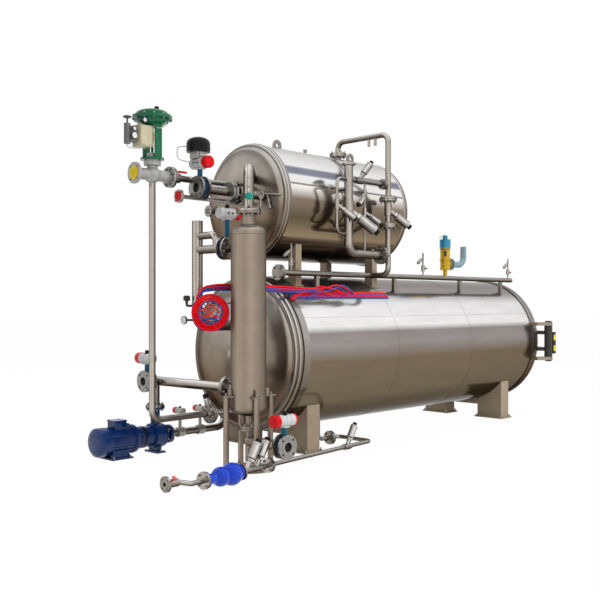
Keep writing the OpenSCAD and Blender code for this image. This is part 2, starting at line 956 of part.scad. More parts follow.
module column_shell() {
    hook_back = coil_w / 2 + hook_spare;
    peg = coil_at + [0, 0, coil_in - hook_r - seat_gap];
    wall_mid = column_r - column_t / 2;
    foot = coil_side * sqrt(wall_mid * wall_mid - hook_back * hook_back) - coil_dir * hook_back;
    color("tan") place() {
        translate([column_x, -column_y, column_z0]) difference() {
            cylinder(r = column_r, h = column_h);
            translate([0, 0, -overrun]) cylinder(r = column_r - column_t, h = column_h + 2 * overrun);
        }
        pipe([
            [column_x, -column_y, peg[2]] + foot,
            peg - coil_dir * hook_back,
            peg + coil_dir * hook_back
        ], hook_r, hook_turn);
    }
}

module column_top() {
    color("tan") place() translate([column_x, -column_y, column_z1]) {
        rotate_extrude() dished_wall(column_r, column_t, dome_crown, dome_knuckle, dome_skirt);
        translate([0, 0, dome_depth - column_t]) cylinder(r = neck_r, h = column_t + neck_rise + flange_t);
        translate([0, 0, dome_depth + neck_rise]) cylinder(r = top_flange_r, h = flange_t);
    }
}

module column_bottom() {
    sluice_end = [0, column_y + sluice_y + flange_t + wafer_t, sluice_z];
    color("tan") place() translate([column_x, -column_y, 0]) {
        translate([0, 0, column_z0]) mirror([0, 0, 1])
            rotate_extrude() dished_wall(column_r, column_t, dome_crown, dome_knuckle, dome_skirt);
        translate([0, 0, nozzle_low]) cylinder(r = pipe_m, h = column_z0 - dome_depth + column_t - nozzle_low);
        translate([0, 0, nozzle_flange_z]) cylinder(r = flange_m, h = 2 * flange_t);
        rod([0, 0, sluice_z], sluice_end, pipe_l);
        flange(sluice_end, [0, 1, 0], flange_l);
    }
}

module column_stand() {
    color("tan") place() translate([column_x, -column_y, 0]) difference() {
        union() {
            for (i = [0:3]) rotate([0, 0, post_turn + 90 * i]) {
                translate([post_ring, 0, 0]) cylinder(r = post_r, h = plate_z);
                block([column_r - plate_lip, -plate_w / 2, plate_z],
                      [post_ring + post_r + 2 * plate_lip - column_r, plate_w, plate_t]);
                block([column_r - plate_lip, -plate_t / 2, plate_z], [gusset_w, plate_t, gusset_h]);
            }
            difference() {
                cylinder(r = post_ring + post_r, h = base_t);
                translate([0, 0, -overrun]) cylinder(r = post_ring - post_r, h = base_t + 2 * overrun);
            }
        }
        cylinder(r = column_r + seat_gap, h = column_z1);
    }
}

module vapour_pipe() {
    start = [column_x, -column_y, top_flange_z + flange_t];
    corner = [column_x, -column_y, vapour_z];
    color("silver") place() difference() {
        union() {
            pipe([start, corner, corner + [column_y, column_y, 0]], vapour_r, vapour_turn);
            flange(start, [0, 0, 1], top_flange_r);
        }
        tank_head_cut();
        translate([tank_x - tank_skirt, 0, tank_z]) rotate([0, 90, 0]) cylinder(r = tank_head_r, h = tank_len);
    }
}

module riser_pipe() {
    color("silver") place() difference() {
        union() {
            pipe([
                [riser_x, -riser_y, control_z - control_r + weld_w],
                [riser_x, -riser_y, riser_low],
                [0, -riser_y, riser_low]
            ], pipe_m, riser_turn);
            flange_pair([steam_flange_x, -riser_y, riser_low], [1, 0, 0], flange_m);
        }
        rear_cut();
        translate([riser_x, -riser_y, control_z]) sphere(r = control_r + seat_gap);
    }
}

module control_valve() {
    port_r = 44;
    bore = [25, 120];
    color("lightgray") place() translate([riser_x, -riser_y, control_z]) difference() {
        union() {
            sphere(r = control_r);
            rod([-control_face, 0, 0], [control_face, 0, 0], port_r);
            flange([-control_face, 0, 0], [1, 0, 0], flange_m);
            flange([control_face, 0, 0], [-1, 0, 0], flange_m);
            cylinder(r = bonnet_neck_r, h = bonnet_top);
            translate([0, 0, bonnet_z]) cylinder(r = bonnet_r, h = bonnet_t);
        }
        translate([-control_face, 0, 0]) rotate([0, 90, 0]) {
            translate([0, 0, -overrun]) cylinder(r = bore[0], h = bore[1]);
            bolt_holes(control_pcd, flange_bolts, flange_bolt_r);
        }
    }
}

module control_actuator() {
    base_z = bonnet_z + bonnet_t + seat_gap;
    base_r = yoke_y + yoke_t;
    stem_r = 10;
    vent = [40, 12, 70];
    half_rim = casing_rim_t / 2;
    color("seagreen") place() translate([riser_x, -riser_y, control_z]) {
        translate([0, 0, base_z]) rotate_extrude() strip(bonnet_neck_r + seat_gap, base_r, 0, yoke_t);
        for (side = [-1, 1])
            block([-yoke_w / 2, side * yoke_y - yoke_t / 2, base_z], [yoke_w, yoke_t, casing_z - base_z]);
        rod([0, 0, bonnet_top + seat_gap], [0, 0, casing_z], stem_r);
        translate([0, 0, casing_z]) rotate_extrude() {
            strip(0, casing_rim_r, -half_rim, half_rim);
            translate([0, half_rim]) dish(casing_r, casing_crown, casing_knuckle);
            mirror([0, 1]) translate([0, half_rim]) dish(casing_r, casing_crown, casing_knuckle);
        }
        rod([vent[0], 0, casing_z], [vent[0], 0, casing_z + half_rim + vent[2]], vent[1]);
    }
}

module positioner() {
    back = -yoke_w / 2 - seat_gap;
    plate = [8, 2 * yoke_y, 70];
    box = [112, 100, 158];
    box_z = 194;
    regulator = [60, 70, 110];
    cup = [[24, 150], [7, 40], [28, 10]];
    color("tan") place() translate([riser_x, -riser_y, control_z]) {
        block([back - plate[0], -plate[1] / 2, box_z + 40], plate);
        block([back - plate[0] - box[0], -60, box_z], box);
        block([back - plate[0] - box[0] - regulator[0], -40, box_z + 30], regulator);
        translate([back - plate[0] - box[0] - regulator[0] - cup[0][0] / 2, 0, box_z + 10])
            rotate_extrude() stack(cup);
    }
}

module butterfly_valves() {
    color("steelblue") place() for (valve = butterfly_list) {
        c = valve[0];
        d = valve[1];
        difference() {
            union() {
                rod(c - d * wafer_t / 2, c + d * wafer_t / 2, wafer_r);
                rod(c, c + [0, 0, valve[4]], neck_rod_r);
            }
            if (valve[3] > 0) rod(c - d * wafer_r, c + d * wafer_r, valve[3]);
        }
    }
}

module butterfly_actuators() {
    color("white") place() for (valve = butterfly_list) {
        c = valve[0] + [0, 0, valve[4] + actuator_r + seat_gap];
        d = valve[2];
        rod(c - d * actuator_half, c + d * actuator_half, actuator_r);
        rod(c + d * (actuator_half - cap_len / 2), c + d * (actuator_half + cap_len), cap_r);
        if (valve[5]) rod(c, c + [0, 0, actuator_r + knob_h], knob_r);
    }
}

module valve_positioner() {
    c = upper_at + [0, 0, neck_h + actuator_r + seat_gap];
    shelf = 20;
    stem = [34, 66];
    dome = [92, 62];
    color("black") place() difference() {
        translate(c + [0, shelf, shelf]) rotate_extrude() {
            stack([stem, dome]);
            translate([0, stem[1] + dome[1]]) dish(dome[0], 1.6 * dome[0], 0.5 * dome[0]);
        }
        rod(c - [0, 2 * actuator_half, 0], c + [0, 2 * actuator_half, 0], actuator_r + seat_gap);
    }
}

module valve_levers() {
    color("red") place() for (lever = lever_list) {
        p = lever[0] + [0, 0, lever[1] + seat_gap];
        turn = atan2(lever[2][1], lever[2][0]);
        rod(p, p + [0, 0, lever_up], lever_stem_r);
        translate(p + [0, 0, lever_up - lever_t]) rotate([0, 0, turn])
            block([-lever_w / 2, -lever_w / 2, 0], [lever_len, lever_w, lever_t]);
    }
}

module open_flanges() {
    out = flange_t + wafer_t / 2;
    color("silver") place() {
        open_flange(upper_at - [out, 0, 0], [-1, 0, 0]);
        open_flange(outlet_at - [out, 0, 0], [-1, 0, 0]);
        open_flange(sluice_at - [0, out, 0], [0, -1, 0]);
    }
}

module tank_inlet() {
    start = upper_at + [wafer_t / 2, 0, 0];
    color("silver") place() difference() {
        union() {
            rod(start, [tank_x, inlet_y, inlet_z], pipe_l);
            flange(start, [1, 0, 0], flange_l);
            flange_pair([inlet_flange_x, inlet_y, inlet_z], [1, 0, 0], flange_l);
        }
        tank_head_cut();
    }
}

module tank_feed() {
    start = [riser_x + control_face, -riser_y, control_z];
    ball = lever_list[0];
    color("silver") place() difference() {
        union() {
            rod(start, [tank_x, -riser_y, control_z], pipe_m);
            flange(start, [1, 0, 0], flange_m);
            rod(ball[0] - [ball_half, 0, 0], ball[0] + [ball_half, 0, 0], ball[1]);
        }
        tank_head_cut();
    }
}

module blank_flange() {
    face = [blank_x, blank_y, blank_z];
    color("red") place() difference() {
        union() {
            flange(face, [1, 0, 0], flange_s);
            rod(face + [flange_t / 2, 0, 0], [tank_x, blank_y, blank_z], pipe_s);
        }
        tank_head_cut();
    }
}

module overflow_pipe() {
    c = [column_x, 0, 0];
    bore_low = bypass_z - cross_r;
    color("silver") place() difference() {
        union() {
            pipe([
                c + [0, 0, overflow_top],
                c + [0, 0, overflow_low],
                [0, 0, overflow_low]
            ], overflow_r, overflow_turn);
            rod(c + [0, 0, cross_z], [column_x, -column_y, cross_z], cross_r);
            pipe([
                c + [0, 0, bypass_z],
                [column_x, bypass_y, bypass_z],
                [column_x, bypass_y, cross_z]
            ], cross_r - weld_w, 60);
            for (k = [-1, 1]) flange(cross_at + [0, k * wafer_t / 2, 0], [0, k, 0], flange_l);
        }
        translate(c + [0, 0, bore_low])
            cylinder(r = overflow_r - pipe_wall, h = overflow_top - bore_low + overrun);
        column_cut();
        rear_cut();
    }
}

module pump() {
    foot = [90, 180, 16];
    web = [44, 120, pump_z];
    neck = 40;
    lip = 14;
    color("royalblue") place() translate([pump_x, pump_y, pump_z]) {
        rotate([0, 90, 0]) rotate_extrude() {
            strip(0, volute_r, -volute_half + lip, volute_half - lip);
            strip(0, volute_r - lip, -volute_half, volute_half);
            strip(0, pump_inlet_r, volute_half, pump_out);
            strip(0, pump_flange_r, pump_out - flange_t, pump_out);
            strip(0, lantern_r, -lantern_len, -volute_half);
        }
        cylinder(r = neck, h = pump_top);
        translate([0, 0, pump_top - flange_t]) cylinder(r = flange_m, h = flange_t);
        block([-foot[0] / 2, -foot[1] / 2, -pump_z], foot);
        block([-web[0] / 2, -web[1] / 2, -pump_z], web);
    }
}

module pump_motor() {
    fins = 24;
    fin = [18, 4];
    bell = 30;
    cowl = 80;
    box = [110, 110, 75];
    foot = [200, 220, 14];
    leg = [160, 30, pump_z - 60];
    core_r = motor_r - 8;
    color("navy") place() translate([pump_x - lantern_len, pump_y, pump_z]) {
        rotate([0, -90, 0]) {
            rotate_extrude() {
                strip(0, core_r, 0, motor_len);
                strip(0, motor_r, 0, bell);
                strip(0, motor_r, motor_len - cowl, motor_len);
            }
            for (i = [0:fins - 1]) rotate([0, 0, 360 / fins * (i + 0.5)])
                block([core_r - 12, -fin[1] / 2, bell / 2], [fin[0], fin[1], motor_len - cowl]);
        }
        block([-200, -box[1] / 2, motor_r - 30], box);
        block([-260, -foot[1] / 2, -pump_z], foot);
        for (side = [-1, 1]) block([-240, side * 70 - leg[1] / 2, -pump_z], leg);
    }
}

module discharge_pipe() {
    stub = outlet_at + [wafer_t / 2, 0, 0];
    base = [pump_x, pump_y, pump_z + pump_top];
    corner = [pump_x, pump_y, outlet_z];
    column_flange = 230;
    color("silver") place() difference() {
        union() {
            rod(base, corner, pipe_l);
            rod(corner, [column_x, -column_y, outlet_z], pipe_l);
            rod(stub, corner, pipe_l);
            translate(corner) sphere(r = pipe_l + tee_bulge);
            flange(base, [0, 0, 1], flange_m);
            flange_pair([column_x, -column_y + column_flange, outlet_z], [0, 1, 0], flange_l);
            flange(stub, [1, 0, 0], flange_l);
        }
        column_cut();
    }
}

module suction_pipe() {
    start = [pump_x + pump_out, pump_y, pump_z];
    color("silver") place() difference() {
        union() {
            pipe([start, [suction_x, pump_y, pump_z], [suction_x, pump_y, axis_z]], suction_r, suction_turn);
            flange(start, [1, 0, 0], pump_flange_r);
        }
        jacket_cut();
    }
}

module suction_taps() {
    collar = suction_r + 10;
    half = actuator_half * tap_scale;
    tap_rise = 185;
    color("white") place() for (x = tap_places) {
        p = [x, pump_y, pump_z];
        c = p + [0, 0, tap_rise];
        difference() {
            union() {
                rod(p - [ball_half, 0, 0], p + [ball_half, 0, 0], collar);
                rod(p, c, tap_r);
                rod(c - [0, half, 0], c + [0, half, 0], actuator_r * tap_scale);
                rod(c + [0, 0.8 * half, 0], c + [0, half + cap_len * tap_scale, 0], cap_r * tap_scale);
            }
            rod(p - [2 * ball_half, 0, 0], p + [2 * ball_half, 0, 0], suction_r + seat_gap);
        }
    }
}

module drain_inlet() {
    a = drain_inlet_at;
    straight = 110;
    p1 = a + [straight, 0, 0];
    p2 = drain_start - drain_dir * straight;
    ball = lever_list[1];
    color("silver") place() difference() {
        union() {
            flange(a, [1, 0, 0], flange_s);
            pipe([a + [flange_t / 2, 0, 0], p1, p2, drain_start], pipe_s, drain_turn);
            rod(ball[0] - [ball_half, 0, 0], ball[0] + [ball_half, 0, 0], ball[1]);
            flange(drain_start, drain_dir, strainer_flange_r);
        }
        rod(a - [overrun, 0, 0], a + [straight - drain_turn, 0, 0], pipe_s - pipe_wall);
        toward(a, [1, 0, 0]) bolt_holes(drain_pcd, flange_bolts, drain_bolt_r);
    }
}

module strainer() {
    body = strainer_len - 2 * seat_gap;
    color("blue") place() toward(drain_at(flange_t + seat_gap), drain_dir) rotate_extrude() intersection() {
        union() {
            square([strainer_neck_r, body]);
            translate([0, lobe_1]) circle(r = lobe_small_r);
            translate([0, lobe_2]) circle(r = lobe_r);
        }
        square([lobe_r, body]);
    }
}

module drain_line() {
    start = drain_at(flange_t + strainer_len);
    color("silver") place() difference() {
        union() {
            flange(start, drain_dir, strainer_flange_r);
            pipe([
                start + drain_dir * flange_t / 2,
                drain_corner,
                [drain_corner[0], under_y, drain_z],
                [under_end, under_y, drain_z],
                [under_end, under_y, axis_z]
            ], pipe_s, drain_turn);
            flange_pair(drain_at(drain_flange_at), drain_dir, flange_s);
            flange_pair([under_flange_x, under_y, drain_z], [1, 0, 0], strainer_flange_r);
        }
        jacket_cut();
    }
}

module hose_coil() {
    color("red") place() toward(coil_at - coil_dir * coil_w / 2, coil_dir) rotate_extrude()
        translate([coil_in, 0]) square([coil_r - coil_in, coil_w]);
}

retort_shell();
retort_jacket();
rear_head();
rear_ring();
mouth_flange();
door_gasket();
door();
door_arm();
hinge_bracket();
hinge_pin();
hinge_block();
basket_rails();
rear_saddle();
front_saddle();
tank_shell();
tank_rear_head();
tank_front_head();
tank_rings();
tank_supports();
lifting_lugs();
vent_pipe();
tank_manifold();
angle_valves();
angle_actuators();
header_pipe();
header_valves();
safety_valve();
safety_outlet();
air_lines_red();
air_lines_blue();
column_shell();
column_top();
column_bottom();
column_stand();
vapour_pipe();
riser_pipe();
control_valve();
control_actuator();
positioner();
butterfly_valves();
butterfly_actuators();
valve_positioner();
valve_levers();
open_flanges();
tank_inlet();
tank_feed();
blank_flange();
overflow_pipe();
pump();
pump_motor();
discharge_pipe();
suction_pipe();
suction_taps();
drain_inlet();
strainer();
drain_line();
hose_coil();
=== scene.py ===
import math
import bpy
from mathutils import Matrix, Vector


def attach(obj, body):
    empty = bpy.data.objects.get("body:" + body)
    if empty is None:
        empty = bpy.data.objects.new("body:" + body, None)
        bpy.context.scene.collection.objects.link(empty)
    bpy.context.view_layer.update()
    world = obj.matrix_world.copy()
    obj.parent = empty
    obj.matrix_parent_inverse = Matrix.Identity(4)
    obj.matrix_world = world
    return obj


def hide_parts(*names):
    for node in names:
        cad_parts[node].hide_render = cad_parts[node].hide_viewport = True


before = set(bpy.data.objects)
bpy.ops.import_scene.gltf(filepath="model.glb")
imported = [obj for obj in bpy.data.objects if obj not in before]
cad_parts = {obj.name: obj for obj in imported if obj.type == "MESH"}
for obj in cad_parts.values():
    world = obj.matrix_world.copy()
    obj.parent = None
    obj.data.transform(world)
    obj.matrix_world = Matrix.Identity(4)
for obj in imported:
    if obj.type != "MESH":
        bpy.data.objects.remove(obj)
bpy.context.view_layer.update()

X, Y, Z = Vector((1, 0, 0)), Vector((0, 1, 0)), Vector((0, 0, 1))

# Places and sizes of the part's source, in mm
MID_X, MID_Y = 1227.3050041, -195.0334242  # the row frame's origin
RETORT_Z, TANK_Z = 840, 2135  # axes of the two vessels, both at y = 0
JACKET_R, TANK_R = 665, 495
MOUTH_X, DOOR_X = 3640, 3695
COLUMN_X, COLUMN_Y, COLUMN_R = -571, -620, 136
HEADER_Y, HEADER_Z = -400, 1520
MANIFOLD_Y = -610
BRANCH_Y, BRANCH_Z, SPARE_Z = -200, 2226, 2089  # pipe of the control valve, and the spare branch
CONTROL_X = -1161
INLET_Y, INLET_Z = -300, 2154
SAFETY_X = 2340
PUMP_X, PUMP_Y, PUMP_Z = -627, 500, 142
FLANGE_HALF, WAFER_HALF = 16, 39  # half of a flange pair, bare and with a butterfly valve in it
INLET_VALVE = Vector((-786, INLET_Y, INLET_Z))
WATER_VALVE = Vector((-711, PUMP_Y, 607))
DRAIN_VALVE = Vector((COLUMN_X, -1011, 215))
FEED_VALVE = Vector((COLUMN_X, -370, 1697))
# Valves with an open flange, and the direction from it into the part
OPEN_ENDS = ((INLET_VALVE, X), (WATER_VALVE, X), (DRAIN_VALVE, Y))
DRAIN_START = Vector((-1342, -1020, 82))
DRAIN = (Vector((711, -760, 82)) - DRAIN_START).normalized()  # direction of the floor line


def P(x, y, z):
    """Point of the part's source, in mm, as a point of the row frame, in metres."""
    return Vector((x - MID_X, y - MID_Y, z)) / 1000


# Camera at the photograph's viewing angle
IMAGE_PX, FOCAL_PX, SENSOR = 600, 854.06, 36
CENTRE_OFF_PX = (-0.87, 2.23)
CAMERA_YAW = 44.3844
cam = bpy.data.cameras.new("camera")
cam.sensor_width = SENSOR
cam.lens = FOCAL_PX / IMAGE_PX * SENSOR
cam.shift_x = CENTRE_OFF_PX[0] / IMAGE_PX
cam.shift_y = CENTRE_OFF_PX[1] / IMAGE_PX
camera = bpy.data.objects.new("camera", cam)
camera.location = P(-4952.4, -5467.8, 1273)
camera.rotation_euler = (math.pi / 2, 0, math.radians(CAMERA_YAW - 90))
bpy.context.collection.objects.link(camera)
scene = bpy.context.scene
scene.camera = camera
scene.view_settings.view_transform = "Standard"


# Materials
PAINT_SHINE = 0.18  # specular level of paints and plastics


def nodes_of(name):
    mat = bpy.data.materials.new(name)
    mat.use_nodes = True
    tree = mat.node_tree
    return mat, tree, tree.nodes["Principled BSDF"]


def link(tree, a, out, b, into):
    tree.links.new(a.outputs[out], b.inputs[into])


def ramp(tree, stops):
    node = tree.nodes.new("ShaderNodeValToRGB")
    band = node.color_ramp
    while len(band.elements) < len(stops):
        band.elements.new(0.5)
    for e, (at, c) in zip(band.elements, stops):
        e.position = at
        e.color = (*c, 1)
    return node


def share(tree, node, out, low, high):
    """A node's value as a share of the way from low to high."""
    span = tree.nodes.new("ShaderNodeMapRange")
    span.inputs["From Min"].default_value = low
    span.inputs["From Max"].default_value = high
    link(tree, node, out, span, "Value")
    return span


def times(tree, a, b):
    """Product of two colours."""
    mix = tree.nodes.new("ShaderNodeMixRGB")
    mix.blend_type = "MULTIPLY"
    mix.inputs["Fac"].default_value = 1
    link(tree, a, "Color", mix, "Color1")
    link(tree, b, "Color", mix, "Color2")
    return mix


def noise(tree, scale, stretch=(1, 1, 1), detail=4):
    where = tree.nodes.new("ShaderNodeTexCoord")
    size = tree.nodes.new("ShaderNodeMapping")
    size.inputs["Scale"].default_value = stretch
    tex = tree.nodes.new("ShaderNodeTexNoise")
    tex.inputs["Scale"].default_value = scale
    tex.inputs["Detail"].default_value = detail
    link(tree, where, "Object", size, "Vector")
    link(tree, size, "Vector", tex, "Vector")
    return tex


def stained(tree, tone, tex, soil):
    """A tone that gets darker in soft stains."""
    dim = ramp(tree, [(0.3, (1 - soil,) * 3), (0.7, (1, 1, 1))])
    link(tree, tex, "Fac", dim, "Fac")
    return times(tree, tone, dim)


def finish_of(tree, bsdf, tex, rough, bump, depth):
    """Roughness and fine relief from one texture."""
    span = tree.nodes.new("ShaderNodeMapRange")
    span.inputs["To Min"].default_value = rough[0]
    span.inputs["To Max"].default_value = rough[1]
    link(tree, tex, "Fac", span, "Value")
    link(tree, span, "Result", bsdf, "Roughness")
    relief = tree.nodes.new("ShaderNodeBump")
    relief.inputs["Strength"].default_value = bump
    relief.inputs["Distance"].default_value = depth
    link(tree, tex, "Fac", relief, "Height")
    link(tree, relief, "Normal", bsdf, "Normal")


def steel(name, tones_with_painted_light, rough, scale, stretch=(1, 1, 1), bump=0.05, metallic=0.9, soil=0.12,
          across=None, axis=(0.7, -0.714, 0), edge=0.3):
    """Steel whose tone runs from its under side to its upper side as painted shade and reflections,
    and also along an axis as painted highlights and dark bands if across is given, with brushing
    and soft stains. Edge is its brightness at a flat angle."""
    mat, tree, bsdf = nodes_of(name)
    where = tree.nodes.new("ShaderNodeTexCoord")
    split = tree.nodes.new("ShaderNodeSeparateXYZ")
    link(tree, where, "Normal", split, "Vector")
    # Painted shade and reflections: the tone follows which way the surface faces, from under side
    # to upper side
    tone = ramp(tree, tones_with_painted_light)
    link(tree, share(tree, split, "Z", -1, 1), "Result", tone, "Fac")
    mix = stained(tree, tone, noise(tree, scale, stretch, 6), soil)
    # Painted highlights and dark bands, by which way the surface faces round the axis
    if across:
        dot = tree.nodes.new("ShaderNodeVectorMath")
        dot.operation = "DOT_PRODUCT"
        dot.inputs[1].default_value = axis
        link(tree, where, "Normal", dot, 0)
        band = ramp(tree, [(at, (v, v, v)) for at, v in across])
        link(tree, share(tree, dot, "Value", -1, 1), "Result", band, "Fac")
        mix = times(tree, mix, band)
    link(tree, mix, "Color", bsdf, "Base Color")
    bsdf.inputs["Specular Tint"].default_value = (edge, 0.95 * edge, 0.9 * edge, 1)
    bsdf.inputs["Metallic"].default_value = metallic
    finish_of(tree, bsdf, noise(tree, scale * 6, stretch, 3), rough, bump, 0.001)
    return mat


def paint(name, c, rough, scale, worn=0.82, metallic=0.0, bump=0.08, coat=0.0):
    """Paint or plastic with slight colour change, orange peel and a dusty roughness."""
    mat, tree, bsdf = nodes_of(name)
    tone = ramp(tree, [(0.25, tuple(v * worn for v in c)), (0.75, c)])
    link(tree, noise(tree, scale, detail=6), "Fac", tone, "Fac")
    link(tree, tone, "Color", bsdf, "Base Color")
    bsdf.inputs["Metallic"].default_value = metallic
    bsdf.inputs["Coat Weight"].default_value = coat
    bsdf.inputs["Specular IOR Level"].default_value = PAINT_SHINE
    finish_of(tree, bsdf, noise(tree, scale * 9), rough, bump, 0.0006)
    return mat


def parted(name, axis, cuts, colours, rough=(0.3, 0.45), metallic=0.0, margin=1):
    """Paint that changes colour at stations along an axis of the row frame, or at distances
    from a point."""
    mat, tree, bsdf = nodes_of(name)
    where = tree.nodes.new("ShaderNodeTexCoord")
    if isinstance(axis, str):
        split, out = tree.nodes.new("ShaderNodeSeparateXYZ"), axis
        link(tree, where, "Object", split, "Vector")
    else:
        split, out = tree.nodes.new("ShaderNodeVectorMath"), "Value"
        split.operation = "DISTANCE"
        split.inputs[1].default_value = axis
        link(tree, where, "Object", split, 0)
    low, high = cuts[0] - margin, cuts[-1] + margin
    stations = [0] + [(v - low) / (high - low) for v in cuts]
    tone = ramp(tree, list(zip(stations, colours)))
    tone.color_ramp.interpolation = "CONSTANT"
    link(tree, share(tree, split, out, low, high), "Result", tone, "Fac")
    mix = stained(tree, tone, noise(tree, 40, detail=5), 0.18)
    link(tree, mix, "Color", bsdf, "Base Color")
    bsdf.inputs["Metallic"].default_value = metallic
    bsdf.inputs["Specular IOR Level"].default_value = PAINT_SHINE
    finish_of(tree, bsdf, noise(tree, 260), rough, 0.08, 0.0006)
    return mat


# Painted shade and reflections, from below: floor shade, floor, horizon, bright wall, ceiling
jacket_steel = steel("jacket_steel", [
    (0.0, (0.03, 0.025, 0.02)), (0.2, (0.19, 0.15, 0.1)), (0.45, (0.2, 0.15, 0.1)),
    (0.55, (0.33, 0.3, 0.29)), (0.63, (0.3, 0.27, 0.26)), (0.67, (0.9, 0.88, 0.87)),
    (0.82, (0.9, 0.88, 0.9)), (0.9, (0.44, 0.42, 0.42))],
    (0.12, 0.19), 4, (0.5, 3, 3), bump=0.03, edge=0.45)
# Painted shade and reflections, from below: shade, the jacket's light, a dark band, bright wall,
# one beam, ceiling
tank_steel = steel("tank_steel", [
    (0.0, (0.03, 0.02, 0.015)), (0.1, (0.08, 0.06, 0.04)), (0.2, (0.3, 0.22, 0.14)),
    (0.34, (0.12, 0.09, 0.05)), (0.5, (0.26, 0.2, 0.15)), (0.6, (0.9, 0.86, 0.82)),
    (0.7, (0.9, 0.9, 0.9)), (0.72, (0.25, 0.26, 0.33)), (0.77, (0.25, 0.26, 0.33)),
    (0.79, (0.93, 0.93, 0.93))],
    (0.1, 0.17), 5, (0.5, 3, 3), bump=0.03, edge=0.55)
# Painted reflections by which way the surface faces, and painted highlights and dark lines on the
# rolls of the rings along X
polished = steel("ring_steel", [
    (0.0, (0.1, 0.075, 0.055)), (0.25, (0.25, 0.19, 0.14)), (0.45, (0.45, 0.38, 0.3)),
    (0.6, (0.7, 0.64, 0.58)), (0.8, (0.86, 0.84, 0.82)), (1.0, (0.9, 0.89, 0.88))],
    (0.12, 0.2), 8, bump=0.03, axis=X, across=[
        (0.0, 0.36), (0.09, 0.42), (0.17, 1.0), (0.26, 0.85), (0.36, 0.28), (0.44, 0.5),
        (0.5, 0.55), (0.58, 0.4), (0.75, 1.0), (1.0, 0.5)])
# Painted shade and reflections by which way the surface faces; the dips close to both ends of the
# axis paint a dark reflected ring on each head
satin = steel("satin_steel", [
    (0.0, (0.075, 0.05, 0.032)), (0.28, (0.16, 0.105, 0.068)), (0.42, (0.29, 0.215, 0.155)),
    (0.5, (0.45, 0.375, 0.30)), (0.6, (0.53, 0.475, 0.415)), (0.75, (0.64, 0.60, 0.55)),
    (1.0, (0.76, 0.74, 0.71))],
    (0.24, 0.34), 5, bump=0.06, soil=0.3, axis=X, across=[
        (0.0, 0.72), (0.012, 0.9), (0.03, 0.84), (0.039, 0.42), (0.052, 0.5), (0.085, 1.0),
        (0.22, 0.95), (0.36, 0.6), (0.5, 0.35), (0.64, 0.6), (0.78, 0.95), (0.91, 1.0),
        (0.948, 0.5), (0.961, 0.42), (0.97, 0.84), (1.0, 0.74)])
# Painted shade and reflections: dark below, light on top, and painted highlights with dark edges
# round upright pipes
pipework = steel("pipe_steel", [
    (0.0, (0.055, 0.042, 0.03)), (0.3, (0.17, 0.135, 0.105)), (0.5, (0.53, 0.475, 0.42)),
    (0.72, (0.68, 0.645, 0.61)), (1.0, (0.82, 0.80, 0.78))],
    (0.16, 0.28), 22, across=[
        (0.0, 0.25), (0.12, 0.45), (0.27, 1.3), (0.42, 0.7), (0.56, 1.2), (0.75, 0.8),
        (0.9, 0.45), (1.0, 0.3)])
# Painted shade: darker towards the under side, lighter towards the upper side
flange_steel = steel("flange_steel", [
    (0.0, (0.10, 0.09, 0.08)), (0.5, (0.34, 0.325, 0.305)), (1.0, (0.62, 0.61, 0.59))],
    (0.22, 0.38), 40, bump=0.1)
# Painted shade and highlights: darker towards the under side, and light and dark bands round the
# column
blasted = steel("blasted_steel", [
    (0.0, (0.08, 0.06, 0.045)), (0.45, (0.36, 0.285, 0.22)), (0.6, (0.4, 0.33, 0.265)),
    (1.0, (0.56, 0.51, 0.45))],
    (0.32, 0.42), 9, bump=0.04, metallic=0.8, across=[
        (0.0, 0.5), (0.2, 1.1), (0.42, 0.88), (0.6, 1.1), (0.9, 0.62), (1.0, 0.5)])
# Painted reflections: bright and dark bands by which way the surface faces
actuator_steel = steel("actuator_steel", [
    (0.0, (0.1, 0.09, 0.08)), (0.3, (0.22, 0.19, 0.16)), (0.46, (0.45, 0.42, 0.38)),
    (0.6, (0.88, 0.86, 0.84)), (0.74, (0.42, 0.39, 0.36)), (1.0, (0.86, 0.85, 0.84))],
    (0.1, 0.18), 30, bump=0.03)
RED, RED_HOSE, BLUE_HOSE = (0.74, 0.004, 0.006), (0.95, 0.003, 0.004), (0.02, 0.09, 0.42)
HOSE_ROUGH = (0.24, 0.36)
frame_paint = paint("saddle_paint", (0.37, 0.29, 0.205), (0.35, 0.55), 12)
black = paint("black_plastic", (0.008, 0.008, 0.009), (0.28, 0.5), 40, 0.5)
rubber = paint("black_rubber", (0.03, 0.03, 0.03), (0.6, 0.8), 60, 0.6)
dark = paint("dark_paint", (0.06, 0.055, 0.05), (0.35, 0.55), 25, 0.6)
white = paint("white_coat", (0.62, 0.62, 0.625), (0.25, 0.4), 25, 0.9)
red = paint("red_plastic", RED, (0.22, 0.36), 30, 0.7)
yellow = paint("yellow_plastic", (0.85, 0.62, 0.01), (0.3, 0.45), 30, 0.85)
teal = paint("valve_blue", (0.018, 0.13, 0.235), (0.3, 0.5), 35, 0.6)
green = paint("casing_green", (0.0, 0.15, 0.06), (0.2, 0.36), 30, 0.6, coat=0.4)
light_green = paint("teal_plastic", (0.02, 0.33, 0.27), (0.3, 0.42), 30, 0.8)
navy = paint("motor_blue", (0.001, 0.034, 0.17), (0.22, 0.4), 30, 0.6, coat=0.4)
bright = paint("strainer_blue", (0.0, 0.05, 0.6), (0.2, 0.34), 26, 0.65, coat=0.4)
cast = paint("cast_grey", (0.46, 0.455, 0.44), (0.35, 0.52), 45, 0.75, metallic=0.4, bump=0.2)
red_tube = paint("red_tube", RED_HOSE, HOSE_ROUGH, 50, 0.9)
blue_tube = paint("blue_tube", BLUE_HOSE, HOSE_ROUGH, 50, 0.8)
wafer_blue = paint("wafer_blue", (0.012, 0.035, 0.075), (0.3, 0.5), 35, 0.6)
glass_face = paint("dial_white", (0.82, 0.82, 0.80), (0.12, 0.2), 20, 0.95)
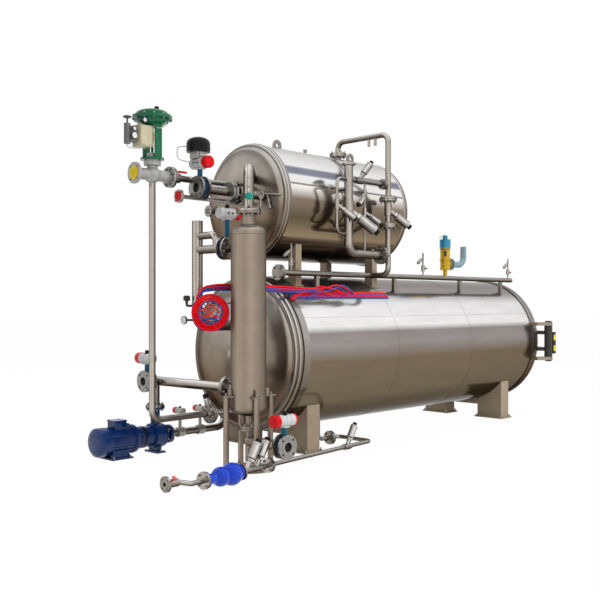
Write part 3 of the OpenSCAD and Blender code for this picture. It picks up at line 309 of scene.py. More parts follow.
brass_zones = parted("brass_and_blue", "Z", [1.80, 1.83], [
    (0.60, 0.38, 0.03), (0.36, 0.27, 0.10), (0.05, 0.27, 0.45)], metallic=0.4)
blue_grey = paint("outlet_blue_grey", (0.24, 0.34, 0.40), (0.35, 0.5), 30, 0.75)
box_zones = parted("box_and_regulator", "X", [P(-1315, 0, 0).x], [
    (0.17, 0.17, 0.17), (0.55, 0.49, 0.33)])
blank_zones = parted("blank_and_pipe", "X", [P(-903, 0, 0).x], [
    (0.50, 0.49, 0.47), (0.50, 0.46, 0.42)], metallic=0.85)
tap_zones = parted("tap_parts", "Y", [P(0, 548, 0).y], [(0.46, 0.44, 0.41), RED], metallic=0.35)

looks = {
    jacket_steel: "retort_jacket",
    tank_steel: "tank_shell",
    polished: "rear_ring tank_rings door mouth_flange",
    satin: "rear_head tank_rear_head tank_front_head retort_shell basket_rails",
    pipework: "vent_pipe tank_manifold header_pipe header_valves riser_pipe tank_inlet tank_feed"
              " overflow_pipe vapour_pipe discharge_pipe suction_pipe drain_inlet drain_line"
              " lifting_lugs angle_valves hinge_pin",
    flange_steel: "open_flanges",
    actuator_steel: "angle_actuators",
    blasted: "column_shell column_top column_bottom column_stand hinge_bracket",
    frame_paint: "rear_saddle front_saddle tank_supports",
    black: "valve_positioner hinge_block",
    rubber: "door_gasket",
    dark: "door_arm",
    white: "butterfly_actuators",
    teal: "butterfly_valves",
    green: "control_actuator",
    cast: "control_valve",
    navy: "pump pump_motor",
    bright: "strainer",
    red: "valve_levers",
    red_tube: "air_lines_red hose_coil",
    blue_tube: "air_lines_blue",
    brass_zones: "safety_valve",
    blue_grey: "safety_outlet",
    box_zones: "positioner",
    blank_zones: "blank_flange",
    tap_zones: "suction_taps",
}
for mat, names in looks.items():
    for name in names.split():
        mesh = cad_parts[name].data
        mesh.materials.clear()
        mesh.materials.append(mat)


# Mesh helpers: every length in mm, every point in the part's own frame
def flat_ring(inner, outer, half, cut=2, slope=1):
    """Profile of a flat ring with its outer edges cut off."""
    return [(inner, -half), (outer - slope, -half), (outer, cut - half), (outer, half - cut),
            (outer - slope, half), (inner, half)]


class Form:
    """Collects turned pieces, rings, blocks, bolts and tubes into one mesh."""

    def __init__(self):
        self.verts, self.faces = [], []

    def skin(self, base, rings, n):
        """Faces over rings of n points each, with both ends closed."""
        for k in range(rings - 1):
            a, b = base + k * n, base + (k + 1) * n
            for i in range(n):
                j = (i + 1) % n
                self.faces.append((a + i, a + j, b + j, b + i))
        self.faces.append(tuple(base + n - 1 - i for i in range(n)))
        end = base + (rings - 1) * n
        self.faces.append(tuple(end + i for i in range(n)))

    def lathe(self, p, d, profile, n=24):
        """Solid turned round d from points of radius and height."""
        turn = Z.rotation_difference(Vector(d).normalized()).to_matrix()
        base = len(self.verts)
        for r, h in profile:
            for i in range(n):
                a = 2 * math.pi * i / n
                at = Vector((r * math.cos(a), r * math.sin(a), h))
                self.verts.append(P(*p) + turn @ at / 1000)
        self.skin(base, len(profile), n)

    def hoop(self, p, d, profile, n=96):
        """Closed ring: the profile's last point joins its first."""
        turn = Z.rotation_difference(Vector(d).normalized()).to_matrix()
        base, m = len(self.verts), len(profile)
        for i in range(n):
            a = 2 * math.pi * i / n
            for r, h in profile:
                at = Vector((r * math.cos(a), r * math.sin(a), h))
                self.verts.append(P(*p) + turn @ at / 1000)
        for i in range(n):
            a, b = base + i * m, base + (i + 1) % n * m
            for k in range(m):
                j = (k + 1) % m
                self.faces.append((a + k, b + k, b + j, a + j))

    def block(self, p, size, axes=(X, Y, Z), bevel=2.0):
        """Box centred on p, with its edges cut off."""
        u, v, w = (Vector(a).normalized() for a in axes)
        sx, sy, sz = (s / 2 for s in size)
        b = min(bevel, sx * 0.9, sy * 0.9, sz * 0.9)
        base = len(self.verts)
        outline = [(sx - b, sy), (sx, sy - b), (sx, b - sy), (sx - b, -sy),
                   (b - sx, -sy), (-sx, b - sy), (-sx, sy - b), (b - sx, sy)]
        for h, k in ((-sz, b), (b - sz, 0), (sz - b, 0), (sz, b)):
            for x, y in outline:
                x -= math.copysign(k, x) if abs(x) > k else 0
                y -= math.copysign(k, y) if abs(y) > k else 0
                self.verts.append(P(*p) + (u * x + v * y + w * h) / 1000)
        for k in range(3):
            a, c = base + 8 * k, base + 8 * k + 8
            for i in range(8):
                j = (i + 1) % 8
                self.faces.append((a + j, a + i, c + i, c + j))
        self.faces.append(tuple(base + i for i in range(8)))
        self.faces.append(tuple(base + 31 - i for i in range(8)))

    def bolt(self, p, d, r=11, h=11, stud=6):
        """Washer and hexagon nut, with the end of a stud if it has a length."""
        w = r * 1.25
        self.lathe(p, d, [(w, 0), (w, 2), (r, 2), (r, h - 1.5), (r * 0.85, h)], 6)
        if stud:
            p = Vector(p) + Vector(d).normalized() * h
            self.lathe(p, d, [(r * 0.55, 0), (r * 0.55, stud), (r * 0.4, stud + 1.5)], 10)

    def bolts(self, p, d, pcd, n, r=11, h=11, stud=6):
        """Circle of n bolts."""
        d = Vector(d).normalized()
        side = d.orthogonal().normalized() if abs(d.z) > 0.9 else d.cross(Z).normalized()
        up = d.cross(side)
        for i in range(n):
            a = 2 * math.pi * (i + 0.5) / n
            out = side * math.cos(a) + up * math.sin(a)
            self.bolt(Vector(p) + out * pcd / 2, d, r, h, stud)

    def tube(self, points, r, n=10, turn=30):
        """Bent tube through the points, with its corners rounded."""
        pts = [Vector(q) for q in points]
        path = [pts[0]]
        for a, b, c in zip(pts, pts[1:], pts[2:]):
            u, w = (a - b), (c - b)
            k = min(turn, u.length * 0.45, w.length * 0.45)
            s, e = b + u.normalized() * k, b + w.normalized() * k
            for i in range(7):
                t = i / 6
                path.append(s * (1 - t) ** 2 + b * 2 * t * (1 - t) + e * t * t)
        path.append(pts[-1])
        base, last = len(self.verts), len(path) - 1
        side = (path[1] - path[0]).normalized().orthogonal().normalized()
        for k, q in enumerate(path):
            ahead = (path[min(k + 1, last)] - path[max(k - 1, 0)]).normalized()
            side = (side - ahead * side.dot(ahead)).normalized()
            up = ahead.cross(side)
            for i in range(n):
                a = 2 * math.pi * i / n
                self.verts.append(P(*(q + (side * math.cos(a) + up * math.sin(a)) * r)))
        self.skin(base, len(path), n)

    def done(self, name, mat, body="frame"):
        """The finished piece, smooth apart from its edges, on its body."""
        mesh = bpy.data.meshes.new(name)
        mesh.from_pydata(self.verts, [], self.faces)
        mesh.validate()
        mesh.polygons.foreach_set("use_smooth", [True] * len(mesh.polygons))
        mesh.set_sharp_from_angle(angle=0.6)
        mesh.materials.append(mat)
        obj = bpy.data.objects.new(name, mesh)
        bpy.context.collection.objects.link(obj)
        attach(obj, body)
        return obj


# Coil of air hose on its hook: layers of turns, each layer wound back over the last
HOSE = 10.0
COIL_R, COIL_IN, COIL_OFF, COIL_Z = 145, 84, 8, 1194
FIRST_LAYER, LAYER_STEP, TURN_STEP = 87.5, 10.4, 11.6
STEPS, TURNS, LAYERS = 24, 4.5, 6
coil_dir = Vector((-0.64, -0.77, 0)).normalized()
coil_side = Vector((-0.77, 0.64, 0)).normalized()
coil_at = Vector((COLUMN_X, COLUMN_Y, COIL_Z)) + coil_side * (COLUMN_R + COIL_R + COIL_OFF)


def on_coil(r, angle, h):
    """Point of the coil at a radius and an angle, h along its axis."""
    return coil_at + coil_side * r * math.cos(angle) + Z * r * math.sin(angle) + coil_dir * h


def chord(form, a, b, h, low, r):
    """A strand across the hole of the coil, from one angle to another."""
    ends = [on_coil(COIL_IN, t, h) for t in (a, b)]
    form.tube([ends[0], (ends[0] + ends[1]) / 2 - Z * low, ends[1]], r, 8, 34)


route, angle, way = [], 0.0, 1
for layer in range(LAYERS):
    r = FIRST_LAYER + LAYER_STEP * layer
    for i in range(int(STEPS * TURNS) + 1):
        h = way * TURN_STEP * (i / STEPS - TURNS / 2)
        route.append((r, angle, h))
        angle += 2 * math.pi / STEPS
    for k in (1, 2, 3):
        route.append((r + LAYER_STEP * k / 4, angle, h))
        angle += 2 * math.pi / STEPS
    way = -way
route = route[:-3]
line = [P(*on_coil(*at)) for at in route]
mixed_tube = parted("mixed_tube", P(*coil_at), [0.0965, 0.112, 0.118, 0.1405], [
    BLUE_HOSE, RED_HOSE, (0.80, 0.002, 0.006), (0.98, 0.003, 0.004), (0.30, 0.02, 0.20)],
    HOSE_ROUGH, margin=0.05)
curve = bpy.data.curves.new("air_hose", "CURVE")
curve.dimensions = "3D"
curve.bevel_depth = HOSE / 2000
curve.bevel_resolution = 2
spline = curve.splines.new("POLY")
spline.points.add(len(line) - 1)
for point, q in zip(spline.points, line):
    point.co = (*q, 1)
spline.use_smooth = True
curve.materials.append(mixed_tube)
hose = bpy.data.objects.new("air_hose", curve)
bpy.context.collection.objects.link(hose)
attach(hose, "frame")
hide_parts("hose_coil")
# Ties round the coil, blue lining of its hole, and strands across the hole
ties, strands = Form(), Form()
for turn in (0.35, 2.2, 4.4):
    out = coil_side * math.cos(turn) + Z * math.sin(turn)
    axes = (out, out.cross(coil_dir), coil_dir)
    strands.block(coil_at + out * (COIL_R + 0.6), (1.6, 6, 62), axes, 0.6)
    for k in (-1, 1):
        strands.block(coil_at + out * 114 + coil_dir * 32.4 * k, (64, 6, 1.6), axes, 0.6)
for h in (-22, 0, 22):
    ties.tube([on_coil(COIL_IN + 0.4, a / 3, h) for a in range(20)], 2.4, 6, 8)
for a, b, h, low in ((3.6, 5.9, 18, 16), (3.9, 6.4, 6, 16), (3.3, 5.5, -8, 16),
                     (2.4, 4.4, 12, 16), (0.4, 1.9, 4, 18)):
    chord(ties, a, b, h, low, 4)
for a, b, h, low in ((3.4, 6.1, 14, 22), (2.9, 5.2, 2, 10), (4.2, 6.9, -4, 14), (1.2, 3.3, 10, -8),
                     (0.2, 2.4, 16, -14), (2.6, 5.7, 24, 4), (0.9, 4.0, -14, 6)):
    chord(strands, a, b, h, low, 4.5)
ties = ties.done("hose_ties", blue_tube)
strands = strands.done("hose_strands", red_tube)

# Bolts and gasket lines of every bolted flange: centre, direction, flange radius, bolts
pairs = [
    ((1143, 0, 2680), Z, 80, 8), ((1143, MANIFOLD_Y, 2206), Z, 80, 8),
    ((1143, MANIFOLD_Y, 1966), Z, 80, 8), ((1038, MANIFOLD_Y, 1695), X, 80, 8),
    ((1068, MANIFOLD_Y, 2335), X, 46, 4), ((-420, INLET_Y, INLET_Z), X, 92, 8),
    ((COLUMN_X, COLUMN_Y, 1966), Z, 95, 8), ((COLUMN_X, COLUMN_Y, 316), Z, 80, 8),
    ((-603, -200, 390), X, 80, 8), ((COLUMN_X, -390, 607), Y, 92, 8),
    ((PUMP_X, PUMP_Y, 385), Z, 80, 8), ((-492, PUMP_Y, PUMP_Z), X, 78, 4),
    (DRAIN_START + DRAIN * 690, DRAIN, 53, 4), ((600, -390, 82), X, 60, 4),
    ((-996, BRANCH_Y, BRANCH_Z), X, 80, 8), ((-36, HEADER_Y, HEADER_Z), X, 66, 4),
]
bolts, gaskets = Form(), Form()


def bolt_pair(c, d, r, half, n):
    """Bolts on both sides of a flange pair."""
    size = 9 if r < 70 else 11
    for k in (-1, 1):
        bolts.bolts(Vector(c) + d * half * k, d * k, 2 * r - 3.2 * size, n, size, size)


for c, d, r, n in pairs:
    bolt_pair(c, d, r, FLANGE_HALF, n)
    gaskets.hoop(c, d, [(r - 4, -1.5), (r + 0.6, -1.5), (r + 0.6, 1.5), (r - 4, 1.5)], 48)
bolt_pair(FEED_VALVE, Y, 92, WAFER_HALF, 8)
for c, d in OPEN_ENDS:
    bolts.bolts(c + d * WAFER_HALF, d, 145, 4)
bolts.bolts(DRAIN_START, -DRAIN, 92, 4, 8, 9)
bolts.bolts(DRAIN_START + DRAIN * 390, DRAIN, 92, 4, 8, 9)
bolts.bolts((2436, HEADER_Y, 1665), X, 98, 4, 8, 8)
bolts.bolts((CONTROL_X, BRANCH_Y, 2336), Z, 104, 6, 8, 9)
bolts.done("flange_bolts", flange_steel)
gaskets.done("flange_gaskets", rubber)

# Open flanges: raised, grooved face and the dark disc of the valve behind it
faces, discs = Form(), Form()
grooves = [(r, 2.5 - 0.7 * (i % 2)) for i, r in enumerate(range(39, 60, 3))]
for c, d in OPEN_ENDS:
    c = c - d * WAFER_HALF
    faces.hoop(c, -d, [(36, -1), (36, 2.5)] + grooves + [(60, 2.5), (61, 0)], 64)
    discs.lathe(c + d * 15.4, -d, [
        (34.8, -0.4), (34.8, 0.6), (31, 2), (12, 3.5), (9, 7), (4, 7.5)], 40)
faces.hoop((-1640, -1000, 100), -X, [
    (15, -1), (15, 2), (20, 1.4), (24, 2), (28, 1.4), (31, 2), (32, 0)], 48)
faces.done("raised_faces", flange_steel)
discs.done("valve_discs", black)

# Protective discs: a yellow one in the control valve's port, a red one on the spare branch
cap = Form()
cap.lathe((-1326, BRANCH_Y, BRANCH_Z), -X, [
    (51, -0.5), (51, 3), (48, 5), (30, 5), (27, 3.5), (12, 3.5), (10, 7), (3, 7.5)], 48)
cap.done("port_cap", yellow)
cap = Form()
cap.lathe((-920, BRANCH_Y, SPARE_Z), -X, [
    (40, -0.5), (40, 3), (37, 5), (20, 5), (17, 3.6), (9, 3.6), (7, 6), (2, 6.4)], 40)
cap.done("branch_cap", red)
bolt_set = Form()
bolt_set.bolts((-920, BRANCH_Y, SPARE_Z), -X, 94, 4, 6, 6, 0)
bolt_set.bolts((-904, BRANCH_Y, SPARE_Z), X, 94, 4, 6, 6, 0)
bolt_set.done("branch_bolts", flange_steel)

# Actuators of the butterfly valves: valve, red end, height of the neck, black position knob
ACTUATOR_R, ACTUATOR_HALF = 42.3, 82
caps, plates, knobs, ports = Form(), Form(), Form(), Form()
for c, d, neck, knob in ((INLET_VALVE, -Y, 150, False), (WATER_VALVE, Y, 150, True),
                         (DRAIN_VALVE, -X, 150, True), (FEED_VALVE, X, 230, True)):
    c = c + Z * (neck + ACTUATOR_R)
    caps.lathe(c + d * 66, d, [
        (44, 0), (47.5, 3), (47.5, 46), (45, 53), (30, 56.5), (26, 56.5), (24, 54.5),
        (6, 54.5)], 40)
    side = d.cross(Z)
    for k in (-0.5, 0.0, 0.45):
        plates.hoop(c + d * ACTUATOR_HALF * k, d, flat_ring(41, 45, 7), 40)
    plates.lathe(c - d * ACTUATOR_HALF, -d, [(42, -1), (42, 4), (39, 7), (12, 7), (10, 9)], 40)
    plates.bolts(c - d * (ACTUATOR_HALF + 7), -d, 60, 4, 4.5, 4, 0)
    plates.block(c - Z * 44, (64, 64, 12), (d, side, Z), 3)
    for k in (-1, 1):
        ports.lathe(c + side * 41 + d * 22 * k, side, [
            (9, 0), (9, 6), (6, 6), (6, 15), (4, 15), (4, 20)], 12)
    if knob:
        knobs.lathe(c + Z * 40, Z, [(22, 0), (22, 6), (17, 8), (17, 24), (14, 28), (5, 29)], 24)
        knobs.block(c + Z * 67, (30, 8, 6), (d, side, Z), 2)
# The small actuators on the suction pipe, and the second red end over the drain
for x in (-363, -140):
    c = Vector((x, PUMP_Y, 327))
    caps.lathe(c + Y * 41, Y, [(27, 0), (29.5, 2), (29.5, 30), (27, 34), (10, 36)], 32)
    knobs.lathe(c + Z * 25, Z, [(12, 0), (12, 4), (9, 5), (9, 14), (4, 16)], 16)
    plates.bolts(c - Y * 51, -Y, 34, 4, 3.5, 3, 0)
caps.lathe(DRAIN_VALVE + Z * (150 + ACTUATOR_R) + X * 84, X, [
    (43, 0), (44, 2), (44, 14), (40, 18), (8, 19)], 40)
caps.done("actuator_caps", red)
wafers = Form()
for c, d in (*OPEN_ENDS, (FEED_VALVE, Y)):
    wafers.hoop(c, d, [(70, -22.5), (77, -21), (78.5, -12), (78.5, 12), (77, 21), (70, 22.5)], 64)
    side = d.cross(Z)
    for i in range(4):
        a = math.pi / 4 + i * math.pi / 2
        out = side * math.cos(a) + Z * math.sin(a)
        wafers.lathe(c + out * 74 - d * 22, d, [(13, 0), (15, 2), (15, 42), (13, 44)], 20)
wafers.done("wafer_bands", wafer_blue)
plates.done("actuator_ribs", white)
knobs.done("position_knobs", black)
ports.done("air_ports", flange_steel)

# Control valve: casing bolts, vent cap, regulator wheel, box front; the block on the inlet valve
casing = Form()
casing.bolts((CONTROL_X, BRANCH_Y, 2664), Z, 276, 12, 8, 8, 5)
casing.bolts((CONTROL_X, BRANCH_Y, 2640), -Z, 276, 12, 8, 8, 3)
casing.lathe((CONTROL_X, BRANCH_Y, 2336), Z, [(47, 14.3), (47, 26), (43, 28)], 6)
casing.done("casing_bolts", flange_steel)
small = Form()
small.lathe((-1121, BRANCH_Y, 2700), Z, [(15, 0), (15, 26), (18, 28), (18, 40), (13, 45)], 24)
small.lathe((-1383.3, BRANCH_Y, 2616), Z, [
    (10, 0), (10, 6), (30, 8), (31, 12), (29, 17), (9, 18), (6, 22)], 10)
small.block((-1255, -262, 2500), (92, 4, 128), bevel=2)
small.done("control_black_parts", black)
box_front = Form()
box_front.block((-1255, -262, 2502), (104, 6, 146), bevel=3)
box_front.block((-1314, -210, 2499), (5, 84, 138), bevel=2)
for x in (-1298, -1212):
    for z in (2438, 2566):
        box_front.lathe((x, -265, z), -Y, [(5, 0), (5, 3), (3, 4)], 8)
relay = Form()
relay.block((-786, -280, 2412), (96, 104, 66), bevel=6)
relay.block((-786, -338, 2412), (70, 14, 40), bevel=3)
relay.bolts((-786, -346, 2412), -Y, 44, 4, 4, 4, 0)
relay.done("positioner_block", cast)
box_front.done("box_cover", paint("box_beige", (0.60, 0.54, 0.38), (0.3, 0.45), 25, 0.85))
# Dials: three at the control valve, and one by the rear head with a small housing above it
dials, rims = Form(), Form()
for c, d, r in (((-1280, -268, 2610), -Y, 17), ((-1352, -242, 2490), -Y, 24),
                ((-1352, -242, 2540), -Y, 15), ((-668, 44, 1128), -X, 34)):
    c = Vector(c)
    dials.lathe(c + d * 9, d, [(r - 2, 0), (r - 2, 1.5), (1, 1.6)], 32)
    rims.hoop(c, d, [(r - 3, 0), (r, 0), (r + 1, 2), (r + 1, 11), (r - 1.5, 13), (r - 2.5, 10),
                     (r - 3, 9)], 32)
    rims.lathe(c - d, d, [(r - 2, -4), (r, 0), (r, 4)], 32)
    rims.block(c + d * 11, (r * 0.9, 2, 1), (X + Z * 0.6, Z - X * 0.6, d), 0.4)
rims.tube([(-1280, -268, 2596), (-1280, -255, 2575), (-1280, -232, 2560)], 5)
rims.tube([(-664, 44, 1128), (-630, 44, 1128), (-598, 12, 1128)], 9, turn=14)
rims.lathe((-655, 32, 1268), Z, [
    (12, 0), (12, 14), (26, 18), (28, 24), (28, 50), (22, 58), (6, 60)], 24)
rims.tube([(-598, 8, 1244), (-655, 32, 1244), (-655, 32, 1270)], 10, turn=16)
dials.done("dial_faces", glass_face)
rims.done("dial_rims", dark)

# White tubing between the regulator, the positioners and the actuators
lines = Form()
for path in (
    [(-1383, -200, 2440), (-1400, -225, 2400), (-1330, -270, 2390), (-1250, -230, 2420)],
    [(-1200, -232, 2570), (-1150, -330, 2560), (-1100, -300, 2640), (-1070, -210, 2645)],
    [(-846, -216, 2480), (-905, -165, 2475), (-905, -170, 2378), (-826, -268, 2346)],
):
    lines.tube(path, 4, turn=40)
lines.done("tubing_white", white)

# Loose air tubes over the jacket, the bundle behind the column, and the clips that hold them
AIR_R = 6


def behind_column(form, dy, dz):
    """One tube of the bundle that runs from the jacket behind the column to the coil."""
    form.tube([(330, -478 + 0.3 * dy, 1372 + 0.5 * dz), (60, -476 + dy, 1362 + dz),
               (-230, -458 + 0.5 * dy, 1372 + dz), (COLUMN_X, -458 + 0.3 * dy, 1376 + dz),
               (-720, -400 + dy, 1376 + dz), (-812, -352 + dy, 1362 + 0.8 * dz),
               (-846, -334 + dy, 1310), (-838, -340 + dy, 1262)], AIR_R, turn=60)


loops = Form()
for path in (
    [(8, -505, 1290), (130, -490, 1350), (300, -480, 1372), (470, -470, 1398), (610, -462, 1430),
     (760, -452, 1392), (880, -446, 1341)],
    [(8, -492, 1303), (120, -480, 1364), (280, -474, 1384), (420, -486, 1366), (560, -470, 1319)],
    [(200, -452, 1336), (360, -466, 1412), (500, -474, 1396), (640, -478, 1372), (760, -466, 1323)],
):
    loops.tube(path, AIR_R, turn=70)
for dy, dz in ((0, 0), (-13, 6), (5, 14), (-9, 20), (-1, 29), (-15, 34)):
    behind_column(loops, dy, dz)
loops.done("red_tube_bends", red_tube)
loops = Form()
for path in (
    [(8, -479, 1316), (100, -468, 1376), (260, -462, 1396), (440, -458, 1384), (600, -452, 1416),
     (730, -460, 1426), (860, -450, 1338)],
    [(220, -486, 1303), (340, -492, 1358), (500, -484, 1376), (640, -462, 1410), (780, -446, 1341)],
):
    loops.tube(path, AIR_R, turn=70)
for dy, dz in ((-20, -6), (-22, 13), (-7, -10)):
    behind_column(loops, dy, dz)
loops.done("blue_tube_bends", blue_tube)
clip = Form()
shoulder = (X, Vector((0, 0.7, 0.714)), Vector((0, -0.714, 0.7)))
clip.block((20, -491, 1302), (16, 62, 15), shoulder, 3)
clip.block((20, -466, 1326), (16, 12, 24), shoulder, 3)
clip.block((COLUMN_X, -466, 1392), (18, 42, 66), bevel=4)
clip.done("tube_clip", black)

# Lever grip, spool flanges, spare tank nozzle, top stub and level cock
grip = Form()
grip.block((-882, BRANCH_Y, 2276.5), (86, 27, 15), bevel=5)
grip.done("lever_grip", red)
spool = Form()
for x in (-492, -462):
    spool.hoop((x, INLET_Y, INLET_Z), X, [
        (38.4, -10), (78, -10), (80, -8), (80, 8), (78, 10), (44, 10), (38.4, 24)], 64)
spool.bolts((-502, INLET_Y, INLET_Z), -X, 62, 8, 7, 7)
spool.bolts((-452, INLET_Y, INLET_Z), X, 62, 8, 7, 7)
spool.hoop((-477, INLET_Y, INLET_Z), X, [(60, -5), (66, -5), (66, 5), (60, 5)], 48)
spool.lathe((-100, 362, 2074), -X, [
    (24, 0), (24, 42), (28, 46), (48, 46), (50, 48), (50, 62), (48, 64), (18, 64), (17, 60)], 48)
spool.bolts((-164, 362, 2074), -X, 37, 4, 6, 6, 5)
spool.lathe((690, 0, 2628), Z, [
    (22, 0), (17, 4), (16, 8), (16, 34), (19, 36), (19, 46), (16, 48)], 24)
spool.tube([(-142, -318, 2166), (-120, -395, 2160), (-72, -462, 2152)], 8, turn=24)
spool.lathe((-128, -372, 2112), (0, -0.3, -1), [
    (8, -46), (8, -8), (15, -4), (15, 22), (10, 26), (10, 58), (13, 60), (13, 74)], 16)
spool.done("spool_flanges", flange_steel)

# Seams of the jacket's and the tank's sheets, round them and along them
seams, welds = Form(), Form()
for x in (1255, 2445):
    seams.hoop((x, 0, RETORT_Z), X, flat_ring(JACKET_R - 0.4, JACKET_R + 1.8, 14, 3, 0.6), 160)
seams.hoop((775, 0, TANK_Z), X, flat_ring(TANK_R - 0.4, TANK_R + 1.4, 10, 2, 0.4), 140)
for a, r, z, x0, x1 in ((62, JACKET_R, RETORT_Z, 72, 3638), (75, TANK_R, TANK_Z, 26, 1522)):
    s, c = math.sin(math.radians(a)), math.cos(math.radians(a))
    seams.block(((x0 + x1) / 2, -r * s, z + r * c), (x1 - x0, 16, 2.4),
                (X, Vector((0, -c, -s)), Vector((0, -s, c))), 0.6)
seams.done("cladding_seams", jacket_steel)
# Weld beads of the column and its nozzles, and where pipes enter the heads
for c, d, r in (((COLUMN_X, COLUMN_Y, 1794), Z, COLUMN_R), ((COLUMN_X, COLUMN_Y, 480), Z, COLUMN_R),
                ((COLUMN_X, COLUMN_Y, 1872), Z, 52), ((COLUMN_X, -496, 1697), Y, 34),
                ((COLUMN_X, -486, 607), Y, 38)):
    welds.hoop(c, d, [(r - 1.5, -8), (r + 2, -6), (r + 3.4, 0), (r + 2, 6), (r - 1.5, 8)], 72)
for x, y, z, r in ((-158, INLET_Y, INLET_Z, 38), (-146, BRANCH_Y, BRANCH_Z, 25),
                   (-146, BRANCH_Y, SPARE_Z, 17), (-166, -200, 390, 25), (-195, 0, 1080, 44)):
    welds.hoop((x, y, z), X, [(r - 1, -4), (r + 3, -2), (r + 4.5, 3), (r + 6, 9), (r - 1, 11)], 48)
welds.done("weld_beads", blasted)

# Feet of saddles, tank supports and column: plates, stiffeners and anchor bolts
plates, anchors = Form(), Form()
for x in (270, 3320):
    for side in (-1, 1):
        plates.block((x, side * 355, 7), (210, 350, 14), bevel=3)
        for u in (-1, 1):
            for w in (-1, 1):
                anchors.bolt((x + 92 * u, side * 355 + 150 * w, 14), Z, stud=12)
    plates.block((x - 76, 0, 170), (8, 760, 60), bevel=2)
for x in (264, 1284):
    for side in (-1, 1):
        plates.block((x, side * 290, 1438), (110, 130, 10), (
            X, Vector((0, 0.9, -0.436 * side)), Vector((0, 0.436 * side, 0.9))), 3)
STAND_R = 179
for i in range(4):
    a = math.radians(-22.5 + 90 * i)
    out = Vector((math.cos(a), math.sin(a), 0))
    q = Vector((COLUMN_X, COLUMN_Y, 0)) + out * STAND_R
    plates.lathe(q + Z * 8, Z, [(44, 0), (44, 4), (24, 12), (22.5, 30)], 32)
    anchors.bolt(q + out * 33 + Z * 12, Z, 7, 7)
    anchors.bolt(q + Z * 564, Z, 12, 12, 8)
plates.done("base_plates", frame_paint)
anchors.done("anchor_bolts", flange_steel)

# Angle seat valves: place, lean and scale, for the collars and tips of their actuators
collars, tips = Form(), Form()
lean = Vector((0.55, -0.5, -0.6))
up = Vector((0.5, 0, 0.87))
for p, d, k in (((600, MANIFOLD_Y, 2075), lean, 1.25), ((450, MANIFOLD_Y, 2105), lean, 0.8),
                ((730, MANIFOLD_Y, 2335), (0.5, -0.3, 0.8), 0.8),
                ((815, MANIFOLD_Y, 2225), (-0.7, -0.2, -0.6), 0.7),
                ((815, MANIFOLD_Y, 2065), (0.6, -0.4, -0.5), 0.7),
                ((1143, MANIFOLD_Y, 2115), lean, 1), (DRAIN_START + DRAIN * 442, up, 0.9),
                (DRAIN_START + DRAIN * 545, up, 0.9), (DRAIN_START + DRAIN * 1710, up, 0.8)):
    d = Vector(d).normalized()
    p = Vector(p)
    collars.lathe(p + d * 74 * k, d, [
        (29 * k, 0), (31 * k, 2), (31 * k, 22 * k), (28 * k, 26 * k)], 6)
    collars.lathe(p + d * 103 * k, d, [
        (36 * k, 0), (38.5 * k, 2), (38.5 * k, 12 * k), (36.2 * k, 15 * k)], 32)
    collars.hoop(p + d * 222 * k, d, [
        (35.5 * k, -8 * k), (37.6 * k, -6 * k), (37.6 * k, 6 * k), (35.5 * k, 10 * k)], 32)
    tips.lathe(p + d * 254 * k, d, [
        (22 * k, -14 * k), (23 * k, -12 * k), (23 * k, 8 * k), (18 * k, 13 * k),
        (4 * k, 14 * k)], 24)
# The leaning valve on the pipe low on the rear head
lean = Vector((-50, 0, 140)).normalized()
foot = Vector((-606, -200, 412))
collars.lathe(foot, lean, [
    (14, -18), (14, 24), (20, 28), (20, 46), (24, 50), (24, 108), (20, 114)], 24)
collars.lathe(foot - Z * 22 - lean * 4, X, [(27.5, -30), (30, -28), (30, 28), (27.5, 30)], 32)
tips.lathe(foot + lean * 110, lean, [(21, 0), (23, 3), (23, 26), (17, 32), (4, 33)], 24)
collars.done("angle_collars", actuator_steel)
tips.done("angle_tips", black)

# Motor: domed cowl with its vanes, terminal box, rims; then the pump's bolts and the guard
motor, fasten = Form(), Form()
motor.lathe((-1192, PUMP_Y, PUMP_Z), -X, [
    (116.5, -76), (117.5, -72), (117.5, 4), (114, 16), (103, 25), (84, 30), (24, 33), (22, 31),
    (12, 31), (10, 34), (3, 35)], 72)
for i in range(10):
    a = math.pi * (i + 0.5) / 5
    out = Vector((0, math.cos(a), math.sin(a)))
    motor.block(Vector((-1222, PUMP_Y, PUMP_Z)) + out * 62, (8, 46, 7), (X, out, X.cross(out)), 2)
motor.hoop((-775, PUMP_Y, PUMP_Z), X, [
    (83, -40), (88, -38), (90, -30), (90, 30), (88, 38), (83, 40)], 64)
motor.block((-1007, PUMP_Y, 305), (122, 122, 10), bevel=3)
motor.lathe((-960, 440, 268), -Y, [(16, 0), (16, 14), (20, 16), (20, 26), (12, 28)], 12)
motor.hoop((-870, PUMP_Y, PUMP_Z), X, [(108, -14), (118, -12), (118, 12), (108, 14)], 64)
motor.hoop((-940, PUMP_Y, 262), Y, [(14, -6), (22, -6), (22, 6), (14, 6)], 24)
motor.hoop((PUMP_X, PUMP_Y, PUMP_Z), X, [(88, 56), (97, 58), (97, 70), (88, 74)], 64)
motor.done("motor_details", navy)
fasten.bolts((-857, PUMP_Y, PUMP_Z), X, 210, 8, 8, 8, 4)
fasten.bolts((-553, PUMP_Y, PUMP_Z), X, 172, 8, 8, 8, 4)
for x in (-1052, -962):
    for y in (450, 550):
        fasten.bolt((x, y, 310), Z, 5, 4, 0)
for x in (-1100, -945):
    for y in (400, 600):
        fasten.bolt((x, y, 14), Z, 9, 9, 8)
for y in (425, 575):
    fasten.bolt((PUMP_X, y, 16), Z, 9, 9, 8)
fasten.done("pump_bolts", flange_steel)
coupling = Form()
coupling.hoop((-775, PUMP_Y, PUMP_Z), X, [(88, -12), (91.5, -11), (91.5, 11), (88, 12)], 48)
coupling.done("lantern_guard", black)

